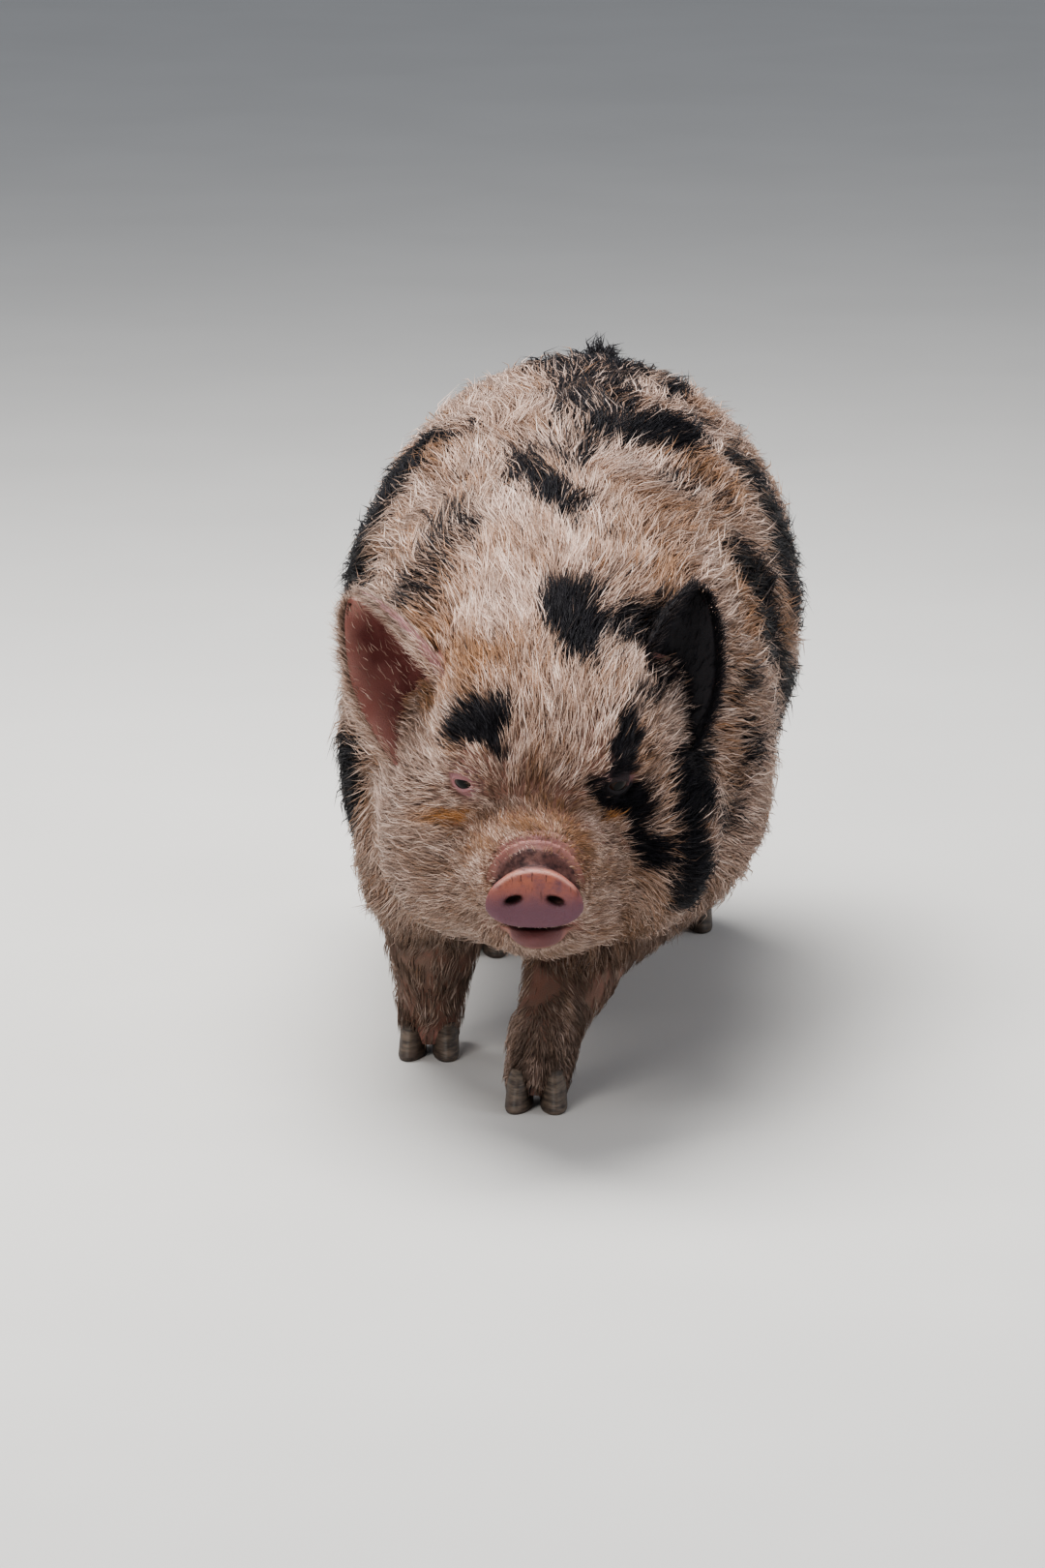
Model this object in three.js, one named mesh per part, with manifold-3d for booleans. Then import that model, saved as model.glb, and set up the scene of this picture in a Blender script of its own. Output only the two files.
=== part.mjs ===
// A kunekune pig, life size, walking towards the viewer with its head held low.
// Millimetres. +Z is up, the snout points towards -Y, and the pig's left side is towards +X.
// The origin is on the floor under the middle of the animal.
import * as THREE from "three";
import { mergeVertices } from "three/addons/utils/BufferGeometryUtils.js";
import Module from "manifold-3d";

const wasm = await Module();
wasm.setup();

// Driving sizes, without the coat
const HALF_LENGTH = 540; // from the middle to the snout's face, and to the back of the tail
const BACK_Z = 544; // top of the back over the rump
const BELLY_Z = 138; // under the belly
const HALF_WIDTH = 192; // half the barrel's width
const POLL_Z = 438; // top of the head between the ears
const JOWL_HALF_WIDTH = 134;
const SNOUT_Z = 232; // middle of the snout disc
const SNOUT_WIDTH = 82;
const SNOUT_HEIGHT = 50;
const EYE_X = 60;
const EYE_Y = -437;
const EYE_Z = 305;
const EYE_RADIUS = 12.5;
const LEG_RADIUS = 27; // the cannon, the leg's thinnest stretch
const HOOF_HEIGHT = 34;
const TOE_LENGTH = 52;
const TOE_WIDTH = 25;
const GAP = 0.3; // between touching nodes
const BODY_CORE = 5; // closed part of the coat over the skin of the trunk, under the locks
const HEAD_CORE = 2; // and over the face
const BODY_LIFT = 10; // how far the tips of the locks stand above that
const HEAD_LIFT = 5;
const LOCK_LENGTH = 72;
const LOCK_WIDTH = 50;

// Where each foot stands: left and right, fore and hind
const FEET = {
  fore_left: { x: -10, y: -310 },
  fore_right: { x: -112, y: -140 },
  hind_left: { x: 92, y: 342 },
  hind_right: { x: -92, y: 236 },
};

const v3 = (x, y, z) => new THREE.Vector3(x, y, z);
const mix = THREE.MathUtils.lerp;
const clamp01 = (t) => THREE.MathUtils.clamp(t, 0, 1);

// Signed distance fields, in which a smooth union blends neighbouring masses
const smoothUnion = (a, b, k) => {
  const h = Math.max(k - Math.abs(a - b), 0) / k;
  return Math.min(a, b) - (h * h * k) / 4;
};

const ellipsoid = (p, c, r) => {
  const x = p.x - c[0];
  const y = p.y - c[1];
  const z = p.z - c[2];
  const k0 = Math.hypot(x / r[0], y / r[1], z / r[2]);
  const k1 = Math.hypot(x / r[0] ** 2, y / r[1] ** 2, z / r[2] ** 2);
  return k1 === 0 ? -Math.min(...r) : (k0 * (k0 - 1)) / k1;
};

const taperedLimb = (p, a, b, ra, rb) => {
  const along = b.clone().sub(a);
  const t = clamp01(p.clone().sub(a).dot(along) / along.lengthSq());
  return p.distanceTo(a.clone().addScaledVector(along, t)) - mix(ra, rb, t);
};

// The masses of flesh: centre and radii, with a blend width. A pair has one each side.
const BARREL_Z = (BACK_Z + BELLY_Z) / 2;
const BARREL_RZ = (BACK_Z - BELLY_Z) / 2;
const TRUNK = [
  { c: [0, 60, BARREL_Z], r: [HALF_WIDTH, 330, BARREL_RZ], k: 30 },
  { c: [0, 262, BACK_Z - 190], r: [HALF_WIDTH - 18, 200, 178], k: 60 },
  { c: [0, -175, 332], r: [162, 160, 176], k: 50 },
  { c: [96, -175, 262], r: [78, 96, 122], k: 40, pair: true },
  { c: [92, 292, 282], r: [86, 128, 148], k: 40, pair: true },
];
const NECK = [{ c: [0, -255, 335], r: [138, 110, 142], k: 50 }];
const JOWL_R = 68;
const HEAD = [
  { c: [0, -336, POLL_Z - 96], r: [92, 104, 92], k: 40 },
  { c: [0, -390, 318], r: [78, 62, 60], k: 40 },
  { c: [JOWL_HALF_WIDTH - JOWL_R, -332, 244], r: [JOWL_R, 92, 84], k: 40, pair: true },
  { c: [0, -400, 210], r: [72, 88, 52], k: 30 },
  { c: [0, -452, SNOUT_Z + 14], r: [58, 82, 46], k: 34 },
  { c: [0, -478, SNOUT_Z - 2], r: [44, 56, 32], k: 18 },
  { c: [40, -424, 322], r: [34, 26, 18], k: 24, pair: true },
];

const flesh = (masses) => (p) => {
  let d = Infinity;
  for (const { c, r, k, pair } of masses) {
    const q = pair ? v3(Math.abs(p.x), p.y, p.z) : p;
    const one = ellipsoid(q, c, r);
    d = d === Infinity ? one : smoothUnion(d, one, k);
  }
  return d;
};
const body = flesh([...TRUNK, ...NECK, ...HEAD]);

const normalOf = (field, p) => {
  const e = 1;
  return v3(
    field(v3(p.x + e, p.y, p.z)) - field(v3(p.x - e, p.y, p.z)),
    field(v3(p.x, p.y + e, p.z)) - field(v3(p.x, p.y - e, p.z)),
    field(v3(p.x, p.y, p.z + e)) - field(v3(p.x, p.y, p.z - e)),
  ).normalize();
};

// The first place along a ray, from inside, where the field reaches the level
const STEP = 6;
const surfaceAlong = (field, from, way, level, limit = 420) => {
  const at = (t) => field(from.clone().addScaledVector(way, t)) - level;
  let t = 0;
  while (t < limit && at(t + STEP) < 0) t += STEP;
  let low = t;
  let high = t + STEP;
  for (let i = 0; i < 18; i++) {
    const half = (low + high) / 2;
    if (at(half) < 0) low = half;
    else high = half;
  }
  return from.clone().addScaledVector(way, (low + high) / 2);
};

// Closed meshes from rings of points, ends closed by a point in the middle of each end ring
const closedRings = (rings, startPoint, endPoint) => {
  const n = rings[0].length;
  const points = [...rings.flat(), startPoint, endPoint];
  const start = points.length - 2;
  const end = points.length - 1;
  const faces = [];
  for (let i = 0; i + 1 < rings.length; i++) {
    for (let j = 0; j < n; j++) {
      const a = i * n + j;
      const b = i * n + ((j + 1) % n);
      faces.push(a, b, b + n, a, b + n, a + n);
    }
  }
  const last = (rings.length - 1) * n;
  for (let j = 0; j < n; j++) {
    faces.push(start, (j + 1) % n, j);
    faces.push(end, last + j, last + ((j + 1) % n));
  }
  return solidFrom(points, faces);
};

const solidFrom = (points, faces) => {
  const vertProperties = new Float32Array(points.flatMap((p) => [p.x, p.y, p.z]));
  const triVerts = new Uint32Array(faces);
  const solid = new wasm.Manifold(new wasm.Mesh({ numProp: 3, vertProperties, triVerts }));
  if (solid.volume() > 0) return solid;
  for (let i = 0; i < triVerts.length; i += 3) {
    [triVerts[i + 1], triVerts[i + 2]] = [triVerts[i + 2], triVerts[i + 1]];
  }
  return new wasm.Manifold(new wasm.Mesh({ numProp: 3, vertProperties, triVerts }));
};

const solidOf = (geometry) => {
  const bare = geometry.clone();
  bare.deleteAttribute("normal");
  bare.deleteAttribute("uv");
  const merged = mergeVertices(bare, 1e-3);
  const a = merged.attributes.position;
  const points = Array.from({ length: a.count }, (_, i) => v3(a.getX(i), a.getY(i), a.getZ(i)));
  return solidFrom(points, [...merged.index.array]);
};

const union = (solids) => solids.reduce((a, b) => a.add(b));

// The largest closed surface, which also drops loose scraps and fills sealed hollows
const largest = (solid) =>
  solid.decompose().reduce((a, b) => (b.volume() > a.volume() ? b : a));

// The trunk, neck and head share one spine, cut at two stations
const SPINE = new THREE.CatmullRomCurve3(
  [
    [462, 400],
    [300, 372],
    [60, 338],
    [-150, 326],
    [-262, 316],
    [-350, 292],
    [-430, 256],
    [-480, 236],
    [-512, 230],
  ].map(([y, z]) => v3(0, y, z)),
);
const TORSO_END = 0.6; // shares of the spine's length
const NECK_END = 0.735;

const coreDepth = (t) => mix(BODY_CORE, HEAD_CORE, THREE.MathUtils.smoothstep(t, TORSO_END, 0.85));

const wayRound = (t, angle) => {
  const side = v3(1, 0, 0);
  const up = side.clone().cross(SPINE.getTangentAt(t)).normalize().negate();
  if (up.z < 0) up.negate();
  return side.multiplyScalar(Math.cos(angle)).addScaledVector(up, Math.sin(angle));
};

const skinPoint = (t, angle, level) => surfaceAlong(body, SPINE.getPointAt(t), wayRound(t, angle), level);

// One length of the spine's flesh, with flat ends where it is cut
const bodyLength = (from, to, steps, segments, grow, ease = (s) => s) => {
  const trim = (GAP / 2 - 0.9 * grow) / SPINE.getLength();
  const a = from === 0 ? 0 : from + trim;
  const b = to === 1 ? 1 : to - trim;
  const rings = Array.from({ length: steps + 1 }, (_, i) => {
    const t = mix(a, b, ease(i / steps));
    return Array.from({ length: segments }, (_, j) =>
      skinPoint(t, (j / segments) * 2 * Math.PI, coreDepth(t) + grow),
    );
  });
  const tip = (t) => {
    const centre = SPINE.getPointAt(t);
    if (t > 0 && t < 1) return centre;
    const out = SPINE.getTangentAt(t).multiplyScalar(t === 0 ? -1 : 1);
    return surfaceAlong(body, centre, out, coreDepth(t) + grow);
  };
  return closedRings(rings, tip(a), tip(b));
};

const easeFromRump = (s) => 1 - Math.cos((s * Math.PI) / 2);
const easeToSnout = (s) => Math.sin((s * Math.PI) / 2) * 0.6 + s * 0.4;
const torsoCore = (grow) => bodyLength(0, TORSO_END, 16, 26, grow, easeFromRump);
const neckCore = (grow) => bodyLength(TORSO_END, NECK_END, 4, 26, grow);
const headCore = (grow) => bodyLength(NECK_END, 1, 21, 32, grow, easeToSnout);

// Locks of the coat: flat tapered blades, rooted in the core, that bend over the body along the lie
let seed = 11;
const chance = (low, high) => {
  seed = (seed * 16807) % 2147483647;
  return mix(low, high, seed / 2147483647);
};
const LOCK_RINGS = [
  { s: 0, wide: 0.55, edge: -13, ridge: -6 },
  { s: 0.24, wide: 0.95, edge: -1.6, ridge: 4.5 },
  { s: 0.52, wide: 1, edge: 0.8, ridge: 7 },
  { s: 0.78, wide: 0.6, edge: 4.6, ridge: 8.6 },
];
const lockSolid = ({ root, level, lie, length, width, lift, bend }, grow) => {
  const out = normalOf(body, root);
  const way = lie.clone().addScaledVector(out, -lie.dot(out)).normalize();
  const side = way.clone().cross(out);
  const at = (s, across, height) => {
    const p = root.clone().addScaledVector(way, s * length).addScaledVector(side, across + bend * s * s);
    for (let i = 0; i < 3; i++) p.addScaledVector(normalOf(body, p), level - body(p));
    return p.addScaledVector(normalOf(body, p), height);
  };
  const rings = LOCK_RINGS.map(({ s, wide, edge, ridge }) => {
    const scale = s === 0 ? 1 : lift / BODY_LIFT;
    const half = (wide * width) / 2 + 8 * grow;
    return [
      at(s, -half, edge * scale - grow),
      at(s, half, edge * scale - grow),
      at(s, 0, ridge * scale + 1.1 * grow),
    ];
  });
  const tip = at(1 + (16 * grow) / length, 0, lift);
  return closedRings(rings, at(0, 0, -10), tip);
};

// Rows of locks round the body. A row leaves the spine at t, leaning towards the rump by the tilt.
const LIE = v3(0, 1, -0.3);
const lockRow = ({ t, tilt = 0, count, low = -0.4, high = Math.PI + 0.4, size = 1, lift = BODY_LIFT }) => {
  const level = coreDepth(t);
  const back = SPINE.getTangentAt(t).negate();
  return Array.from({ length: count }, (_, i) => {
    const angle = mix(low, high, (i + chance(0.3, 0.7)) / count);
    const way = wayRound(t, angle).multiplyScalar(Math.cos(tilt)).addScaledVector(back, Math.sin(tilt));
    return {
      root: surfaceAlong(body, SPINE.getPointAt(t + chance(-0.006, 0.006)), way, level),
      level,
      lie: LIE.clone().add(v3(chance(-0.16, 0.16), 0, chance(-0.1, 0.1))),
      length: LOCK_LENGTH * size * chance(0.85, 1.15),
      width: LOCK_WIDTH * size * chance(0.85, 1.1),
      lift: lift * chance(0.85, 1.1),
      bend: chance(-12, 12) * size,
    };
  });
};
const TORSO_LOCKS = [
  ...[0.58, 0.52, 0.457, 0.394, 0.331, 0.268, 0.205, 0.142].flatMap((t) => lockRow({ t, count: 11 })),
  ...lockRow({ t: 0.12, tilt: 0.35, count: 10 }),
  ...lockRow({ t: 0.12, tilt: 0.75, count: 8, low: -0.9, high: Math.PI + 0.9 }),
  ...lockRow({ t: 0.12, tilt: 1.15, count: 6, low: -1.3, high: Math.PI + 1.3 }),
];
const NECK_LOCKS = [
  ...lockRow({ t: 0.625, count: 10 }),
  ...lockRow({ t: 0.67, count: 10, size: 0.95 }),
  ...lockRow({ t: 0.715, count: 10, size: 0.9, lift: 9 }),
];
const HEAD_LOCKS = [
  ...lockRow({ t: 0.755, count: 11, low: -0.9, high: Math.PI + 0.9, size: 0.85, lift: 8 }),
  ...lockRow({ t: 0.79, count: 11, low: -0.9, high: Math.PI + 0.9, size: 0.75, lift: 7 }),
  ...lockRow({ t: 0.825, count: 7, low: 0.5, high: Math.PI - 0.5, size: 0.6, lift: 6 }),
  ...lockRow({ t: 0.825, count: 2, low: -0.9, high: 0, size: 0.65, lift: 6 }),
  ...lockRow({ t: 0.825, count: 2, low: Math.PI, high: Math.PI + 0.9, size: 0.65, lift: 6 }),
  ...lockRow({ t: 0.86, count: 4, low: 0.9, high: Math.PI - 0.9, size: 0.45, lift: HEAD_LIFT }),
];
const lockSolids = (locks, grow) => union(locks.map((lock) => lockSolid(lock, grow)));

// Legs: level rings round an axis, from inside the trunk down to the pastern
const LEG_SEGMENTS = 14;
const LEG_FOOT_Z = 20; // the flesh ends here, between the toes
const foreJoints = (foot, side) => [
  { p: v3(side * 86, -186, 238), r: 64 },
  { p: v3(mix(side * 94, foot.x, 0.4), mix(-190, foot.y, 0.15), 165), r: 55 },
  { p: v3(mix(side * 92, foot.x, 0.74), mix(-196, foot.y, 0.52), 106), r: 36 },
  { p: v3(mix(side * 92, foot.x, 0.94), mix(-196, foot.y, 0.86), 58), r: LEG_RADIUS },
  { p: v3(foot.x, foot.y + 4, LEG_FOOT_Z), r: LEG_RADIUS - 1 },
];
const hindJoints = (foot, side) => [
  { p: v3(side * 98, 292, 250), r: 74 },
  { p: v3(side * 100, mix(310, foot.y, 0.3), 182), r: 50 },
  { p: v3(mix(side * 98, foot.x, 0.6), mix(360, foot.y + 34, 0.7), 122), r: 32 },
  { p: v3(mix(side * 96, foot.x, 0.9), foot.y + 16, 62), r: LEG_RADIUS },
  { p: v3(foot.x, foot.y + 4, LEG_FOOT_Z), r: LEG_RADIUS - 1 },
];
const legField = (joints) => (p) => {
  let d = Infinity;
  for (let i = 0; i + 1 < joints.length; i++) {
    const a = joints[i];
    const b = joints[i + 1];
    const one = taperedLimb(p, a.p, b.p, a.r, b.r);
    d = d === Infinity ? one : smoothUnion(d, one, 12);
  }
  return d;
};
const legAxis = (joints, z) => {
  const i = joints.findIndex((joint, n) => n > 0 && joint.p.z <= z);
  const a = joints[i - 1].p;
  const b = joints[i].p;
  return a.clone().lerp(b, (a.z - z) / (a.z - b.z));
};
const LEG_RINGS = 13;
const legSolid = (joints, grow) => {
  const field = legField(joints);
  const top = joints[0].p.z;
  const rings = Array.from({ length: LEG_RINGS }, (_, i) => {
    const z = mix(LEG_FOOT_Z - grow, top, (i / (LEG_RINGS - 1)) ** 1.15);
    const centre = legAxis(joints, Math.max(z, LEG_FOOT_Z));
    centre.z = z;
    return Array.from({ length: LEG_SEGMENTS }, (_, j) => {
      const angle = (j / LEG_SEGMENTS) * 2 * Math.PI;
      return surfaceAlong(field, centre, v3(Math.cos(angle), Math.sin(angle), 0), grow);
    });
  });
  const bottom = joints[joints.length - 1].p.clone();
  bottom.z = LEG_FOOT_Z - grow;
  return closedRings(rings, bottom, joints[0].p);
};

// Hooves: two toes to a foot, and two dewclaws behind the pastern
const TOE_SEGMENTS = 10;
const toeSolid = (foot, side) => {
  const levels = [
    { z: 0, back: 0, size: 0.94 },
    { z: 3, back: 0, size: 1 },
    { z: HOOF_HEIGHT * 0.6, back: 5, size: 0.93 },
    { z: HOOF_HEIGHT, back: 12, size: 0.78 },
  ];
  const outward = side * 0.12;
  const centre = v3(foot.x + side * (TOE_WIDTH / 2 + 0.8), foot.y - 6, 0);
  const rings = levels.map(({ z, back, size }) =>
    Array.from({ length: TOE_SEGMENTS }, (_, j) => {
      const angle = (j / TOE_SEGMENTS) * 2 * Math.PI;
      const point = Math.sin(angle) < 0 ? 1.15 : 0.85;
      const x = (Math.cos(angle) * TOE_WIDTH * size) / 2;
      const y = (Math.sin(angle) * point * TOE_LENGTH * size) / 2 + back;
      const inner = side * x < 0 ? 0.86 : 1;
      return v3(centre.x + x * inner + Math.max(-y, 0) * outward, centre.y + y, z);
    }),
  );
  const middle = (ring, z) => v3(centre.x, centre.y + ring.back, z);
  return closedRings(rings, middle(levels[0], 0), middle(levels[3], HOOF_HEIGHT));
};
const dewclawSolid = (foot, side) => {
  const from = v3(foot.x + side * 11, foot.y + 22, 52);
  const to = v3(foot.x + side * 15, foot.y + 42, 27);
  const way = to.clone().sub(from).normalize();
  const across = v3(1, 0, 0);
  const up = way.clone().cross(across).normalize();
  const rings = [
    [0, 9],
    [0.7, 8],
    [1, 5],
  ].map(([share, r]) =>
    Array.from({ length: 8 }, (_, j) => {
      const angle = (j / 8) * 2 * Math.PI;
      return from
        .clone()
        .lerp(to, share)
        .addScaledVector(across, Math.cos(angle) * r)
        .addScaledVector(up, Math.sin(angle) * r * 0.75);
    }),
  );
  return closedRings(rings, from, to.clone().addScaledVector(way, 3));
};

// Snout disc: arched above, flatter below, with a rounded rim
const snoutSolid = (grow) => {
  const slices = [
    { y: -504, w: 0.86 },
    { y: -516, w: 0.88 },
    { y: -525, w: 0.97 },
    { y: -533, w: 1 },
    { y: -538, w: 0.93 },
    { y: -HALF_LENGTH, w: 0.8 },
  ];
  const n = 20;
  const rings = slices.map(({ y, w }) =>
    Array.from({ length: n }, (_, j) => {
      const angle = (j / n) * 2 * Math.PI;
      const c = Math.cos(angle);
      const s = Math.sin(angle);
      const below = s < 0;
      const x = Math.sign(c) * Math.abs(c) ** (below ? 0.78 : 0.95) * (SNOUT_WIDTH / 2);
      const z = Math.sign(s) * Math.abs(s) ** (below ? 0.85 : 1) * (SNOUT_HEIGHT / 2);
      return v3(x * w + Math.sign(c) * grow, y, SNOUT_Z + z * w + Math.sign(s) * grow);
    }),
  );
  return closedRings(rings, v3(0, -504, SNOUT_Z), v3(0, -HALF_LENGTH + 1, SNOUT_Z));
};
const nostrilPit = (side) => {
  const cone = new THREE.CylinderGeometry(6.2, 3, 22, 10);
  cone.rotateX(Math.PI / 2);
  cone.scale(1.15, 1, 0.72);
  cone.rotateZ(side * 0.35);
  cone.translate(side * 18, -HALF_LENGTH + 8, SNOUT_Z - 1);
  return solidOf(cone);
};

// The lower lip under the snout, and the line of the mouth: a thin slot that curves back under the cheeks
const lowerLip = () => {
  const lip = new THREE.SphereGeometry(1, 16, 10);
  lip.rotateX(Math.PI / 2);
  lip.scale(28, 50, 15);
  lip.translate(0, -477, SNOUT_Z - 41);
  return solidOf(lip);
};
const mouthSlot = () => {
  const outline = new THREE.Shape();
  outline.absellipse(0, 0, 39, 62, 0, 2 * Math.PI);
  const slot = new THREE.ExtrudeGeometry(outline, { depth: 2.4, bevelEnabled: false, curveSegments: 12 });
  slot.rotateX(-0.06);
  slot.translate(0, -490, SNOUT_Z - 27.5);
  return solidOf(slot);
};

// Eyes, set by the skin of the head, and lids round them
const eyePlace = (side) => {
  const from = v3(0, -372, EYE_Z - 6);
  const way = v3(side * EYE_X, EYE_Y - from.y, EYE_Z - from.z).normalize();
  const skin = surfaceAlong(body, from, way, HEAD_CORE);
  const out = normalOf(body, skin);
  return { skin, out, centre: skin.clone().addScaledVector(out, 2.5 - EYE_RADIUS) };
};
const eyeSolid = (side, grow) => {
  const ball = new THREE.SphereGeometry(EYE_RADIUS + grow, 11, 8);
  ball.translate(...eyePlace(side).centre.toArray());
  return solidOf(ball);
};
const lidRing = (side) => {
  const { skin, out } = eyePlace(side);
  const ring = new THREE.TorusGeometry(11.5, 3.6, 6, 12);
  ring.scale(1.12, 0.82, 1);
  ring.applyQuaternion(new THREE.Quaternion().setFromUnitVectors(v3(0, 0, 1), out));
  ring.translate(...skin.clone().addScaledVector(out, 0.4).toArray());
  return solidOf(ring);
};

// An ear: a cupped leaf that springs from the head, its front rim rolled forward
const EARS = {
  left: {
    base: v3(84, -352, 316),
    tip: v3(128, -322, 452),
    across: v3(0.86, 0.34, -0.36),
    outer: 42,
    inner: 54,
    cup: 24,
    roll: 10,
  },
  right: {
    base: v3(-88, -352, 312),
    tip: v3(-170, -322, 438),
    across: v3(-0.8, 0.3, -0.52),
    outer: 42,
    inner: 52,
    cup: 24,
    roll: 8,
  },
};
const EAR_STEPS = 9;
const EAR_ACROSS = 8;
const EAR_THICKNESS = 7;
const earSolid = ({ base, tip, across, outer, inner, cup, roll }, grow) => {
  const along = tip.clone().sub(base);
  const wide = across.clone().addScaledVector(along, -across.dot(along) / along.lengthSq()).normalize();
  const facing = wide.clone().cross(along).normalize();
  if (facing.y > 0) facing.negate();
  const leaf = (u, v, back) => {
    const spread = Math.sin(Math.PI * Math.min(1, 0.3 + u * 0.7)) ** 0.62 * mix(0.94, 1, u);
    const half = v > 0 ? outer : inner;
    const depth = cup * (1 - v * v) * mix(1, 0.25, u);
    const rolled = v < -0.55 ? roll * (-v - 0.55) * spread : 0;
    const edge = Math.max(Math.abs(v), u) ** 3;
    const thick = EAR_THICKNESS * mix(1, 0.45, edge) + 4 * grow;
    return base
      .clone()
      .addScaledVector(along, u * (1 - 0.12 * v * v * (1 - u)))
      .addScaledVector(wide, v * half * spread + rolled)
      .addScaledVector(facing, rolled - depth + (back ? -thick / 2 : thick / 2));
  };
  const reach = 1 + grow / 16;
  const rings = [];
  for (let i = 0; i <= EAR_STEPS; i++) {
    const u = (i / EAR_STEPS) * 0.97;
    const way = Array.from({ length: EAR_ACROSS + 1 }, (_, j) => ((2 * j) / EAR_ACROSS - 1) * reach);
    rings.push([...way.map((v) => leaf(u, v, false)), ...way.map((v) => leaf(u, -v, true))]);
  }
  const root = leaf(0, 0, true).lerp(leaf(0, 0, false), 0.5);
  return closedRings(rings, root, tip.clone().addScaledVector(along, grow / 30));
};

// The tail rises from the rump, arches over and hangs to the left
const TAIL = new THREE.CatmullRomCurve3([
  v3(0, 420, 466),
  v3(0, 458, 494),
  v3(2, 490, 508),
  v3(6, 519, 496),
  v3(11, 531, 464),
  v3(14, 527, 426),
]);
const tailSolid = (grow) => {
  const n = 10;
  const steps = 12;
  const rings = Array.from({ length: steps + 1 }, (_, i) => {
    const t = i / steps;
    const way = TAIL.getTangentAt(t);
    const side = v3(1, 0, 0).addScaledVector(way, -way.x).normalize();
    const up = way.clone().cross(side);
    const r = mix(19, 7, t) + grow;
    return Array.from({ length: n }, (_, j) => {
      const angle = (j / n) * 2 * Math.PI;
      return TAIL.getPointAt(t)
        .addScaledVector(side, Math.cos(angle) * r)
        .addScaledVector(up, Math.sin(angle) * r);
    });
  });
  return closedRings(rings, TAIL.getPointAt(0), TAIL.getPointAt(1).addScaledVector(TAIL.getTangentAt(1), 6));
};

const model = new THREE.Group();
const addNode = (name, solid, color, roughness = 0.8) => {
  const mesh = largest(solid).getMesh();
  const geometry = new THREE.BufferGeometry();
  geometry.setAttribute("position", new THREE.BufferAttribute(mesh.vertProperties, 3));
  geometry.setIndex(new THREE.BufferAttribute(mesh.triVerts, 1));
  geometry.computeVertexNormals();
  const node = new THREE.Mesh(geometry, new THREE.MeshStandardMaterial({ color, roughness }));
  node.name = name;
  model.add(node);
};

const COAT = 0xc49c80;
const BLACK_SKIN = 0x2a2529;
const PINK_SKIN = 0xb98a86;
const SNOUT_SKIN = 0xa8808a;
const HORN = 0x3a322d;
const EYE = 0x1a120d;

const legs = Object.entries(FEET).map(([name, foot]) => {
  const side = name.endsWith("left") ? 1 : -1;
  const joints = name.startsWith("fore") ? foreJoints(foot, side) : hindJoints(foot, side);
  return { name, foot, side, solid: legSolid(joints, 0), grown: legSolid(joints, GAP) };
});
const ears = ["left", "right"].map((name) => {
  const ear = EARS[name];
  return { name, solid: earSolid(ear, 0), grown: earSolid(ear, GAP) };
});
const others = union([...legs, ...ears].map((other) => other.grown)).add(tailSolid(GAP));

// Each length is cut clear of the coat of the one behind it, since the locks lie backwards over it
const torsoGrown = torsoCore(GAP);
const torsoCoatGrown = torsoGrown.add(lockSolids(TORSO_LOCKS, GAP));
addNode("torso", torsoCore(0).add(lockSolids(TORSO_LOCKS, 0).subtract(others)), COAT);

const neckGrown = neckCore(GAP);
const neckCoatGrown = neckGrown.add(lockSolids(NECK_LOCKS, GAP));
const neck = neckCore(0).add(lockSolids(NECK_LOCKS, 0).subtract(others)).subtract(torsoCoatGrown);
addNode("neck", neck, COAT);

const headGrown = headCore(GAP);
const head = union([headCore(0), lowerLip(), lidRing(1), lidRing(-1)])
  .add(lockSolids(HEAD_LOCKS, 0).subtract(others))
  .subtract(mouthSlot())
  .subtract(eyeSolid(1, GAP))
  .subtract(eyeSolid(-1, GAP))
  .subtract(neckCoatGrown)
  .subtract(torsoCoatGrown);
addNode("head", head, COAT);

const bodyGrown = union([torsoGrown, neckGrown, headGrown]);
for (const { name, solid } of ears) {
  addNode("ear_" + name, solid.subtract(bodyGrown), name === "left" ? BLACK_SKIN : PINK_SKIN);
}
addNode("eye_left", eyeSolid(1, 0), EYE, 0.1);
addNode("eye_right", eyeSolid(-1, 0), EYE, 0.1);

const snout = snoutSolid(0).subtract(headGrown).subtract(nostrilPit(1)).subtract(nostrilPit(-1));
addNode("snout", snout, SNOUT_SKIN, 0.5);

addNode("tail", tailSolid(0).subtract(torsoGrown), BLACK_SKIN);

for (const { name, foot, side, solid, grown } of legs) {
  addNode("leg_" + name, solid.subtract(bodyGrown), COAT);
  for (const [toe, way] of [
    ["outer", side],
    ["inner", -side],
  ]) {
    addNode("hoof_" + name + "_" + toe, toeSolid(foot, way).subtract(grown), HORN, 0.45);
    addNode("dewclaw_" + name + "_" + toe, dewclawSolid(foot, way).subtract(grown), HORN, 0.45);
  }
}

export default model;
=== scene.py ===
# %% [markdown]
# # A kunekune pig, walking towards us
# The solids give a pig in plain, wide locks of coat. This lesson puts one smooth skin inside those
# locks, dresses it in about 166,500 thin tufts, and adds eyes, lids and hooves. The solids are imported
# and kept at the start.

# %% Start from the imported solids
import math

import bpy
import numpy as np
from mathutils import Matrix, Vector, kdtree


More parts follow.
